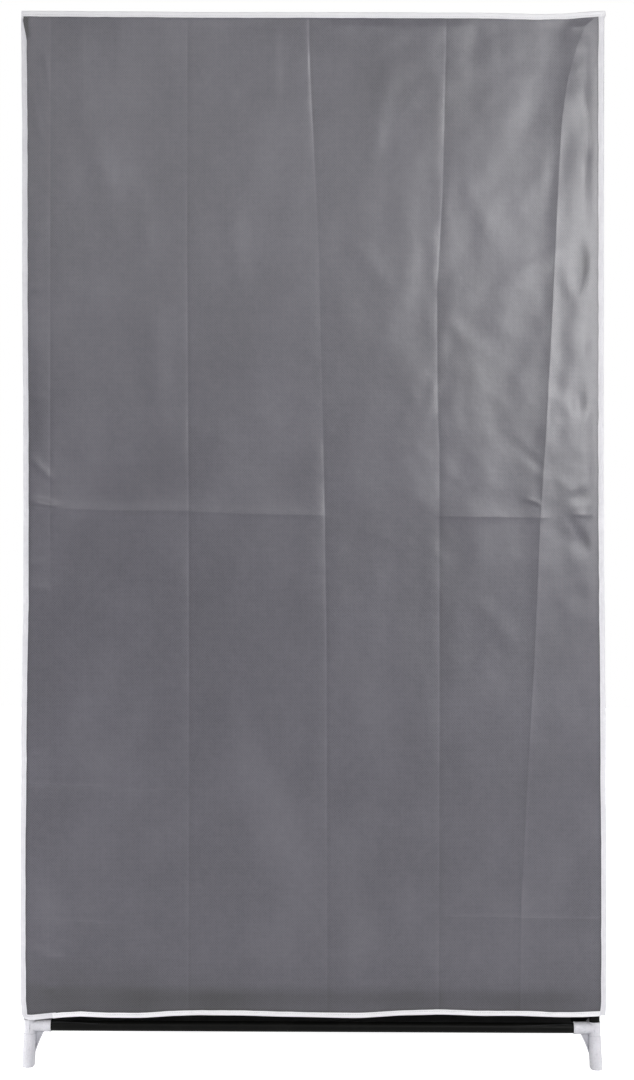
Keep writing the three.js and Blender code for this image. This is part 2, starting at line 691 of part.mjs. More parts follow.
function addDoorUpper(group) {
  const inset = bindFold + bindEdgeGap;
  const top = (x) => doorTopZ - inset - topSagAt(x);
  const fold = () => foldZ + foldGap / 2;
  group.add(namedMesh("door_panel_upper", doorClothGeometry(fold, top, 8), "cloth"));

  const bandStart = new THREE.Vector3(-coverHalfX, doorY, doorTopZ - topBindHeight);
  const band = binding(topBindHeight, 2 * coverHalfX, 24, axisZ, axisX, bandStart);
  bend(band, (point) => {
    point.z -= topSagAt(point.x);
  });
  group.add(namedMesh("binding_door_top", band, "tape"));
  const sideTopZ = doorTopZ - topBindHeight - bindButtGap;
  addDoorSides(group, "upper", () => foldZ + foldGap / 2, () => sideTopZ, gripTapeHighZ);
}

// Side bindings and hook tapes of one half of the door
function addDoorSides(group, half, lowAt, highAt, tapeHigh) {
  for (const { name, side } of sides) {
    const edgeX = side * coverHalfX;
    const low = lowAt(edgeX);
    const length = highAt(edgeX) - low;
    const start = new THREE.Vector3(side * (coverHalfX - doorBindWidth), doorY, low);
    const strip = binding(doorBindWidth, length, 1, axisX.clone().multiplyScalar(side), axisZ, start);
    group.add(namedMesh(`binding_door_${name}_${half}`, strip, "tape"));
    const tapeLow = half === "upper" ? foldZ + foldGap / 2 : gripTapeLowZ;
    const tape = new THREE.BoxGeometry(gripTapeWidth, gripTapeThickness, tapeHigh - tapeLow);
    const mesh = namedMesh(`hook_tape_${name}_${half}`, tape, "grip");
    mesh.position.set(side * gripTapeX, hookTapeY, (tapeHigh + tapeLow) / 2);
    group.add(mesh);
  }
}

function addDoorLower(group) {
  const inset = bindFold + bindEdgeGap;
  const hem = (x) => hemLineAt(x) + inset;
  const fold = () => foldZ - foldGap / 2;
  group.add(namedMesh("door_panel_lower", doorClothGeometry(hem, fold, 14), "cloth"));

  const reach = coverHalfX - doorBindWidth - seat;
  const hemStart = new THREE.Vector3(-reach, doorY, hemBindWidth);
  const strip = binding(hemBindWidth, 2 * reach, 32, axisZ.clone().negate(), axisX, hemStart);
  bend(strip, (point) => {
    point.z += hemLineAt(point.x);
  });
  group.add(namedMesh("binding_door_hem", strip, "tape"));
  addDoorSides(group, "lower", hemLineAt, () => foldZ - foldGap / 2, foldZ - foldGap / 2);
}

const frame = new THREE.Group();
addUprights(frame);
addRails(frame);
addHangingRail(frame);
addFloorCloth(frame);

const cover = new THREE.Group();
addRoof(cover);
addCoverPanels(cover);
addFrontStrips(cover);
addCoverBindings(cover);

const door = new THREE.Group();
addDoorUpper(door);
addDoorLower(door);
cover.add(door);

const wardrobe = new THREE.Group();
wardrobe.add(frame, cover);
wardrobe.updateMatrixWorld(true);

// The origin lies on the floor, under the middle of the whole
const reachBox = new THREE.Box3().setFromObject(wardrobe, true);
const middlePoint = reachBox.getCenter(new THREE.Vector3());
wardrobe.position.set(-middlePoint.x, -middlePoint.y, -reachBox.min.z);

export default wardrobe;
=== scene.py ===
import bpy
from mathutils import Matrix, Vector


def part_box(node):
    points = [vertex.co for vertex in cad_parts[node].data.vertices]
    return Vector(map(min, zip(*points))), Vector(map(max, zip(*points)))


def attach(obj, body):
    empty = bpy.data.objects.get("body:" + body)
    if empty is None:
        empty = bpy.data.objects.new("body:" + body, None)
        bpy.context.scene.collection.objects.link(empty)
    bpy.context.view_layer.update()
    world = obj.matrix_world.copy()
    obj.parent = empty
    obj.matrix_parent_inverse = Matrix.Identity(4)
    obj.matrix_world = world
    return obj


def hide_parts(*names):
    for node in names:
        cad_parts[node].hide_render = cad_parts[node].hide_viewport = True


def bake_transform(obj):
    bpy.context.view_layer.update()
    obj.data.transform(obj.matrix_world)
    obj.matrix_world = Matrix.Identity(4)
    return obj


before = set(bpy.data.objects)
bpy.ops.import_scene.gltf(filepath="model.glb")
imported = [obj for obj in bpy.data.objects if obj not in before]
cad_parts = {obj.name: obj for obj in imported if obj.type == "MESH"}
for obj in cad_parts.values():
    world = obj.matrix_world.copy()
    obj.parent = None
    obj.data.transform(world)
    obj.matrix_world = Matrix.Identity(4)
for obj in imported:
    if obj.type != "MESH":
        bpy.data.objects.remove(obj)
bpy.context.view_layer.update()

import math

import bmesh
import bpy
from mathutils import Matrix, Vector, noise

# Every length in the dictionaries below is in millimetres
mm = 0.001
fullTurn = 2 * math.pi
roundSides = 48  # facets round a tube, a sleeve or a leg
seedGap = 7.31  # how far apart the ripples of two seeds lie
axisX, axisY, axisZ = Vector((1, 0, 0)), Vector((0, 1, 0)), Vector((0, 0, 1))
scene = bpy.context.scene


def smooth(share):
    held = min(max(share, 0), 1)
    return held * held * (3 - 2 * held)


def along(rows, place):
    # the value at a place on rows of (place, value), straight between rows
    if place <= rows[0][0]:
        return rows[0][1]
    for (start, low), (end, high) in zip(rows, rows[1:]):
        if place <= end:
            return low + (high - low) * (place - start) / (end - start)
    return rows[-1][1]


def bays(counts, crowd=0.85):
    # grid lines as (bay, share), crowded towards the lines between bays
    places = []
    for bay, count in enumerate(counts):
        for step in range(count):
            share = step / count
            places.append((bay, share - crowd * math.sin(fullTurn * share) / fullTurn))
    return places + [(len(counts) - 1, 1.0)]


def ripple(x, y, long, seed=0):
    # soft noise from -1 to 1, with bumps about as long as that
    return noise.noise(Vector((x / long, y / long, seed * seedGap)))


def bumpy(x, y, rows, seed=0):
    # ripples added up: rows of squeeze along y, length, seed and share
    return sum(share * ripple(x, y * squeeze, long, seed + own) for squeeze, long, own, share in rows)


def uneven(look, wave):
    # a level that swings with a ripple: look is (level, swing)
    return look[0] + look[1] * wave


def bell(distance, reach):
    return math.exp(-(distance / reach) ** 2)


def linear(code):
    # an sRGB hex colour as the linear numbers that a socket takes
    parts = [int(code[i:i + 2], 16) / 255 for i in (1, 3, 5)]
    return [p / 12.92 if p <= 0.04045 else ((p + 0.055) / 1.055) ** 2.4 for p in parts] + [1]


def setSockets(tree, node, inputs):
    # sets plain values, and links sockets, or a node by its first output
    for name, value in inputs.items():
        if isinstance(value, bpy.types.Node):
            value = value.outputs[0]
        if isinstance(value, bpy.types.NodeSocket):
            tree.links.new(value, node.inputs[name])
        else:
            node.inputs[name].default_value = value


def addNode(tree, kind, inputs={}, **settings):
    node = tree.nodes.new("ShaderNode" + kind)
    for name, value in settings.items():
        setattr(node, name, value)
    setSockets(tree, node, inputs)
    return node


def startMaterial(name):
    made = bpy.data.materials.new(name)
    made.use_nodes = True
    tree = made.node_tree
    tree.nodes.clear()
    shader = addNode(tree, "BsdfPrincipled")
    addNode(tree, "OutputMaterial", {"Surface": shader})
    return made, tree, shader


def markSharp(shape, degrees):
    for face in shape.faces:
        face.smooth = True
    for edge in shape.edges:
        edge.smooth = len(edge.link_faces) == 2 and edge.calc_face_angle(0) < math.radians(degrees)


def addObject(name, data):
    made = bpy.data.objects.new(name, data)
    scene.collection.objects.link(made)
    return made


def addPiece(name, shape, finishes, nodes=(), body=None, slot=None, sharp=40):
    # the finished bmesh as an object in metres, with its CAD nodes and body; its slot is not used
    markSharp(shape, sharp)
    bmesh.ops.scale(shape, vec=(mm, mm, mm), verts=shape.verts)
    data = bpy.data.meshes.new(name)
    shape.to_mesh(data)
    shape.free()
    piece = addObject(name, data)
    for finish in finishes:
        data.materials.append(finish)
    if nodes:
        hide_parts(*nodes)
    if body:
        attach(piece, body)
    return piece


shot = {
    "aim": (6.4, -245, 795),
    "distance": 3350,
    "turn": 0.743,  # degrees round to the right side
    "roll": 0.1125,
    "lens": 74.43,
}


def addCamera():
    data = bpy.data.cameras.new("shotCamera")
    data.lens = shot["lens"]
    camera = addObject("shotCamera", data)
    turn = Matrix.Rotation(math.radians(shot["turn"]), 4, "Z")
    eye = turn @ Vector((0, -shot["distance"], 0)) + Vector(shot["aim"])
    roll = Matrix.Rotation(math.radians(shot["roll"]), 4, "Z")
    upright = Matrix.Rotation(math.pi / 2, 4, "X")
    camera.matrix_world = Matrix.Translation(eye * mm) @ turn @ upright @ roll
    scene.camera = camera


studio = {
    "floorColour": "#E6E6E8", "floorRough": 0.9,
    "floorGlow": 0.97,  # added for the camera, so that the lit floor comes up to white
    "floorSize": 14000,
    "ambient": 0.22,
    # softboxes: name, place, what it points at, size, watts, and whether it shows in gloss, as four of them
    # would only glare on the cloth
    "boxes": [
        ("sheenBox", (980, -3000, 1520), (300, -245, 1150), (420, 1250), 34.5, True),
        ("wideBox", (-700, -3400, 1900), (-200, -245, 1000), (1500, 1000), 9, True),
        ("keyBox", (1900, -1300, 2200), (200, -245, 1000), (500, 900), 5, True),
        ("lowLeftBox", (-1400, -900, 150), (-430, -245, 40), (500, 200), 7, False),
        ("lowRightBox", (1400, -950, 150), (300, -245, 60), (600, 200), 4.5, False),
        ("sideBox", (-2600, 600, 1500), (-437, 0, 800), (1500, 1500), 40, False),
        ("backBox", (900, 2900, 2300), (0, 200, 900), (2000, 1500), 60, False),
    ],
}


def addStudio():
    world = bpy.data.worlds.new("studioWorld")
    world.use_nodes = True
    tree = world.node_tree
    tree.nodes.clear()
    level = addNode(tree, "MapRange", {"Value": seenRays(tree), "To Min": studio["ambient"], "To Max": 1.0})
    sky = addNode(tree, "Background", {"Color": (1, 1, 1, 1), "Strength": level})
    addNode(tree, "OutputWorld", {"Surface": sky})
    scene.world = world

    shape = bmesh.new()
    bmesh.ops.create_grid(shape, x_segments=1, y_segments=1, size=studio["floorSize"] / 2)
    floor = addPiece("studioFloor", shape, [floorMaterial()])

    for name, eye, aim, size, watts, gloss in studio["boxes"]:
        data = bpy.data.lights.new(name, "AREA")
        data.shape = "RECTANGLE"
        data.size, data.size_y = (side * mm for side in size)
        data.energy = watts
        lamp = addObject(name, data)
        lamp.visible_glossy = gloss
        lamp.location = Vector(eye) * mm
        lamp.rotation_euler = (Vector(aim) - Vector(eye)).to_track_quat("-Z", "Y").to_euler()


def seenRays(tree):
    # 1 for rays from the camera, off gloss and through clear things
    path = addNode(tree, "LightPath").outputs
    seen = addNode(tree, "Math", {0: path["Is Camera Ray"], 1: path["Is Glossy Ray"]}, operation="MAXIMUM")
    return addNode(tree, "Math", {0: seen, 1: path["Is Transmission Ray"]}, operation="MAXIMUM")


def floorMaterial():
    # matt pale card floor, which keeps the soft shadow and glows up to white for the camera
    made, tree, shader = startMaterial("paleStudioFloor")
    glow = addNode(tree, "Math", {0: seenRays(tree), 1: studio["floorGlow"]}, operation="MULTIPLY")
    setSockets(tree, shader, {"Base Color": linear(studio["floorColour"]), "Roughness": studio["floorRough"],
                              "Specular IOR Level": 0, "Emission Color": (1, 1, 1, 1),
                              "Emission Strength": glow})
    return made


# the three cloths: colours, then how long and high their patterns are, then how rough and glossy they are
# paleMark is the colour for paler marks: rubbing and random tone, and painted light on the door cloth and on
# the hem and top tapes; shade is the colour of painted shade
greyCloth = {
    "pale": "#54525B", "deep": "#47454E", "paleMark": "#84828A", "shade": "#1F1E22",
    "bondPitch": 2.6,  # real bonds sit 1.2 mm apart: drawn coarser so that they show
    "fibre": 0.9, "cloud": 14, "patch": 120, "crumple": 30, "relief": 0.055, "crumpleRelief": 0.45,
    "bondRough": 0.26, "fibreRough": 0.32, "sheen": 0.03, "specular": 0.7,
}
whiteTape = {
    "pale": "#EBEAEE", "deep": "#DDDCE1", "paleMark": "#FCFBFD", "shade": "#A8A7AD",
    "bondPitch": 1.8, "fibre": 0.6, "cloud": 9, "patch": 70, "crumple": 8, "relief": 0.1, "crumpleRelief": 0.25,
    "bondRough": 0.45, "fibreRough": 0.65, "sheen": 0.1, "specular": 0.4,
}
blackCloth = {
    "pale": "#232324", "deep": "#161617", "paleMark": "#343436", "shade": "#0A0A0A",
    "bondPitch": 2.6, "fibre": 0.9, "cloud": 12, "patch": 90, "crumple": 25, "relief": 0.14,
    "crumpleRelief": 0.8, "bondRough": 0.5, "fibreRough": 0.72, "sheen": 0.04, "specular": 0.2,
}
spun = {  # what the three cloths share
    "jitter": 0.15, "bondEdge": (0.16, 0.36),  # how uneven the lattice is, and where a bond passes into the mat
    "leans": (0.5, -0.6), "threadLong": 0.14,  # threads lie both ways, more along the roll than across it
    "matTone": 0.7, "tones": (1.0, 1.85), "matRelief": 0.8,
    "crumpleStrength": 0.6, "reliefStrength": 0.7, "ior": 1.49, "sheenRough": 0.45,
}


def spunbond(name, look):
    # spunbonded polypropylene non-woven: a mat of fine threads pressed flat at a lattice of small
    # bonds, so it looks slightly pebbled, clouded where the mat is thicker, with a soft waxy sheen
    made, tree, shader = startMaterial(name)
    flat = addNode(tree, "UVMap", uv_map="flat")
    slanted = addNode(tree, "Mapping", {"Vector": flat, "Rotation": (0, 0, math.pi / 4)})
    bonds = addNode(tree, "TexVoronoi", {"Vector": slanted, "Scale": 1 / (look["bondPitch"] * mm),
                                         "Randomness": spun["jitter"]},
                    voronoi_dimensions="2D", distance="CHEBYCHEV")
    loose = addNode(tree, "MapRange", {"Value": bonds, "From Min": spun["bondEdge"][0],
                                       "From Max": spun["bondEdge"][1]})
    strands = []
    for lean in spun["leans"]:
        laid = addNode(tree, "Mapping", {"Vector": flat, "Rotation": (0, 0, lean),
                                         "Scale": (1, spun["threadLong"], 1)})
        strands.append(addNode(tree, "TexNoise", {"Vector": laid, "Scale": 1 / (look["fibre"] * mm),
                                                  "Detail": 2.0}, noise_dimensions="2D"))
    mat = addNode(tree, "Math", {0: strands[0], 1: strands[1]}, operation="MAXIMUM")
    cloud = addNode(tree, "TexNoise", {"Vector": flat, "Scale": 1 / (look["cloud"] * mm), "Detail": 5.0,
                                       "Roughness": 0.6}, noise_dimensions="2D")
    patch = addNode(tree, "TexNoise", {"Vector": flat, "Scale": 1 / (look["patch"] * mm), "Detail": 2.0},
                    noise_dimensions="2D")
    tone = addNode(tree, "Math", {0: cloud, 1: patch}, operation="ADD")
    tone = addNode(tree, "Math", {0: mat, 1: spun["matTone"], 2: tone}, operation="MULTIPLY_ADD")
    tone = addNode(tree, "MapRange", {"Value": tone, "From Min": spun["tones"][0],
                                      "From Max": spun["tones"][1]})
    # marks paint the colour: over 0 towards paleMark for rubbing and painted light, under 0 towards shade for
    # painted shade
    mark = addNode(tree, "Attribute", attribute_name="mark").outputs["Fac"]
    dimmed = addNode(tree, "Math", {0: mark, 1: -1.0}, operation="MULTIPLY")
    colour = linear(look["deep"])
    for share, code in ((tone, "pale"), (mark, "paleMark"), (dimmed, "shade")):
        colour = addNode(tree, "Mix", {0: share, 6: colour, 7: linear(look[code])}, data_type="RGBA").outputs[2]
    rough = addNode(tree, "MapRange", {"Value": loose, "To Min": look["bondRough"],
                                       "To Max": look["fibreRough"]})
    crumple = addNode(tree, "TexNoise", {"Vector": flat, "Scale": 1 / (look["crumple"] * mm), "Detail": 3.0},
                      noise_dimensions="2D")
    large = addNode(tree, "Bump", {"Height": crumple, "Strength": spun["crumpleStrength"],
                                   "Distance": look["crumpleRelief"] * mm})
    grain = addNode(tree, "Math", {0: mat, 1: spun["matRelief"], 2: loose}, operation="MULTIPLY_ADD")
    fine = addNode(tree, "Bump", {"Height": grain, "Strength": spun["reliefStrength"],
                                  "Distance": look["relief"] * mm, "Normal": large})
    setSockets(tree, shader, {"Base Color": colour, "Roughness": rough, "Normal": fine, "IOR": spun["ior"],
                              "Specular IOR Level": look["specular"], "Sheen Weight": look["sheen"],
                              "Sheen Roughness": spun["sheenRough"]})
    return made


thread = {
    "colour": "#E3E2E6", "shade": "#C4C3C8", "twist": 0.5, "waves": 0.3, "relief": 0.05, "roughness": 0.55,
    "sheen": 0.2,
}


def spunThread():
    # white polyester sewing thread: two plies twisted, which gives fine slanted shade lines
    made, tree, shader = startMaterial("twistedPolyesterThread")
    place = addNode(tree, "TexCoord").outputs["Object"]
    plies = addNode(tree, "TexWave", {"Vector": place, "Scale": thread["waves"] / (thread["twist"] * mm),
                                      "Distortion": 1.0}, bands_direction="DIAGONAL").outputs[1]
    colour = addNode(tree, "Mix", {0: plies, 6: linear(thread["shade"]), 7: linear(thread["colour"])},
                     data_type="RGBA").outputs[2]
    bump = addNode(tree, "Bump", {"Height": plies, "Strength": 0.5, "Distance": thread["relief"] * mm})
    setSockets(tree, shader, {"Base Color": colour, "Normal": bump, "Roughness": thread["roughness"],
                              "Sheen Weight": thread["sheen"]})
    return made


powder = {
    "colour": "#0D0D0C", "paleMark": "#171716", "peel": 1.6, "grit": 0.35, "scuff": 45, "rubbed": (0.5, 0.72),
    "rough": (0.34, 0.5), "gritShare": 0.3, "relief": 0.06, "specular": 0.06,
}


def powderCoat():
    # black polyester powder coat on steel tube: even black with a fine orange peel, so highlights
    # break up a little, and a few duller rubbed patches
    made, tree, shader = startMaterial("blackPowderCoat")
    place = addNode(tree, "TexCoord").outputs["Object"]
    peel = addNode(tree, "TexNoise", {"Vector": place, "Scale": 1 / (powder["peel"] * mm), "Detail": 1.5})
    grit = addNode(tree, "TexNoise", {"Vector": place, "Scale": 1 / (powder["grit"] * mm), "Detail": 2.0})
    scuff = addNode(tree, "TexNoise", {"Vector": place, "Scale": 1 / (powder["scuff"] * mm), "Detail": 6.0,
                                       "Roughness": 0.65})
    rubbed = addNode(tree, "MapRange", {"Value": scuff, "From Min": powder["rubbed"][0],
                                        "From Max": powder["rubbed"][1]})
    colour = addNode(tree, "Mix", {0: rubbed, 6: linear(powder["colour"]), 7: linear(powder["paleMark"])},
                     data_type="RGBA").outputs[2]
    rough = addNode(tree, "MapRange", {"Value": rubbed, "To Min": powder["rough"][0],
                                       "To Max": powder["rough"][1]})
    height = addNode(tree, "Math", {0: grit, 1: powder["gritShare"], 2: peel}, operation="MULTIPLY_ADD")
    bump = addNode(tree, "Bump", {"Height": height, "Strength": 0.35, "Distance": powder["relief"] * mm})
    setSockets(tree, shader, {"Base Color": colour, "Roughness": rough, "Normal": bump,
                              "Specular IOR Level": powder["specular"]})
    return made


moulded = {
    "pale": "#E2E1E6", "deep": "#D3D2D8", "shade": "#82838F", "flow": 16, "speck": 2.2, "texture": 0.5,
    "hollow": 15, "pull": 0.35, "speckShare": 0.5, "tones": (0.55, 0.95), "specks": (0.3, 0.7),
    "rough": (0.24, 0.38), "relief": 0.06, "ior": 1.49,
    "glow": 0.12, "glowColour": (1.0, 0.95, 0.9), "glowDeep": 2.5,  # the light that it lets in
}


def mouldedPolypropylene():
    # white moulded polypropylene: waxy, half matt from a lightly eroded mould, with faint flow
    # clouds and light let a little way in
    made, tree, shader = startMaterial("mouldedPolypropylene")
    place = addNode(tree, "TexCoord").outputs["Object"]
    pulled = addNode(tree, "Mapping", {"Vector": place, "Scale": (1, 1, moulded["pull"])})
    flow = addNode(tree, "TexNoise", {"Vector": pulled, "Scale": 1 / (moulded["flow"] * mm), "Detail": 4.0,
                                      "Distortion": 0.8})
    speck = addNode(tree, "TexNoise", {"Vector": place, "Scale": 1 / (moulded["speck"] * mm), "Detail": 3.0})
    tone = addNode(tree, "Math", {0: speck, 1: moulded["speckShare"], 2: flow}, operation="MULTIPLY_ADD")
    tone = addNode(tree, "MapRange", {"Value": tone, "From Min": moulded["tones"][0],
                                      "From Max": moulded["tones"][1]})
    colour = addNode(tree, "Mix", {0: tone, 6: linear(moulded["deep"]), 7: linear(moulded["pale"])},
                     data_type="RGBA").outputs[2]
    # painted shade: sockets, webs and the roots of ribs are drawn a little greyer in their recesses
    hollow = addNode(tree, "AmbientOcclusion", {"Distance": moulded["hollow"] * mm}, samples=6,
                     only_local=True).outputs["AO"]
    colour = addNode(tree, "Mix", {0: hollow, 6: linear(moulded["shade"]), 7: colour},
                     data_type="RGBA").outputs[2]
    rough = addNode(tree, "MapRange", {"Value": speck, "From Min": moulded["specks"][0],
                                       "From Max": moulded["specks"][1], "To Min": moulded["rough"][0],
                                       "To Max": moulded["rough"][1]})
    grain = addNode(tree, "TexNoise", {"Vector": place, "Scale": 1 / (moulded["texture"] * mm), "Detail": 2.0})
    bump = addNode(tree, "Bump", {"Height": grain, "Strength": 0.3, "Distance": moulded["relief"] * mm})
    setSockets(tree, shader, {"Base Color": colour, "Roughness": rough, "Normal": bump, "IOR": moulded["ior"],
                              "Subsurface Weight": moulded["glow"], "Subsurface Radius": moulded["glowColour"],
                              "Subsurface Scale": moulded["glowDeep"] * mm})
    return made


grip = {
    "pitch": 1.9, "jitter": 0.25, "hooks": (0.5, 0.1), "fuzz": 0.8, "relief": 0.5, "deep": "#1A1A1B",
    "pale": "#38383A", "rootRough": 0.75, "tips": {"hook": (0.5, 0.05), "loop": (0.9, 0.4)},  # roughness, sheen
}


def gripTape(name, hooked):
    # nylon hook and loop tape: the hooks stand in rows with dark gaps, the loops are a fuzzy pile
    made, tree, shader = startMaterial(name)
    flat = addNode(tree, "UVMap", uv_map="flat")
    tipRough, sheen = grip["tips"]["hook" if hooked else "loop"]
    if hooked:
        rows = addNode(tree, "TexVoronoi", {"Vector": flat, "Scale": 1 / (grip["pitch"] * mm),
                                            "Randomness": grip["jitter"]}, voronoi_dimensions="2D")
        pile = addNode(tree, "MapRange", {"Value": rows, "From Min": grip["hooks"][0],
                                          "From Max": grip["hooks"][1]})
    else:
        pile = addNode(tree, "TexNoise", {"Vector": flat, "Scale": 1 / (grip["fuzz"] * mm), "Detail": 4.0,
                                          "Distortion": 1.5}, noise_dimensions="2D")
    colour = addNode(tree, "Mix", {0: pile, 6: linear(grip["deep"]), 7: linear(grip["pale"])},
                     data_type="RGBA").outputs[2]
    bump = addNode(tree, "Bump", {"Height": pile, "Strength": 1.0, "Distance": grip["relief"] * mm})
    rough = addNode(tree, "MapRange", {"Value": pile, "To Min": grip["rootRough"], "To Max": tipRough})
    setSockets(tree, shader, {"Base Color": colour, "Normal": bump, "Roughness": rough, "Sheen Weight": sheen})
    return made


def addSheet(columns, rows, place, thickness):
    # a bmesh grid laid out by place(column, row), which gives the point, where it lies on the flat
    # cloth, and its mark there (over 0 paler, for rubbing, random tone and painted light, under 0 darker,
    # painted shade along tapes, bends, dents and gaps), then given its thickness behind that face, or before it
    # if that is negative
    shape = bmesh.new()
    bmesh.ops.create_grid(shape, x_segments=columns, y_segments=rows, size=0.5)
    flat = shape.loops.layers.uv.new("flat")
    mark = shape.verts.layers.float.new("mark")
    laid = {}
    for vert in shape.verts:
        point, spot, marked = place(round((vert.co.x + 0.5) * columns), round((vert.co.y + 0.5) * rows))
        vert.co = point
        vert[mark] = marked
        laid[vert] = Vector(spot) * mm
    for face in shape.faces:
        for loop in face.loops:
            loop[flat].uv = laid[loop.vert]
    shape.normal_update()
    if thickness:
        bmesh.ops.solidify(shape, geom=shape.faces[:], thickness=thickness)
        bmesh.ops.recalc_face_normals(shape, faces=shape.faces)
    return shape


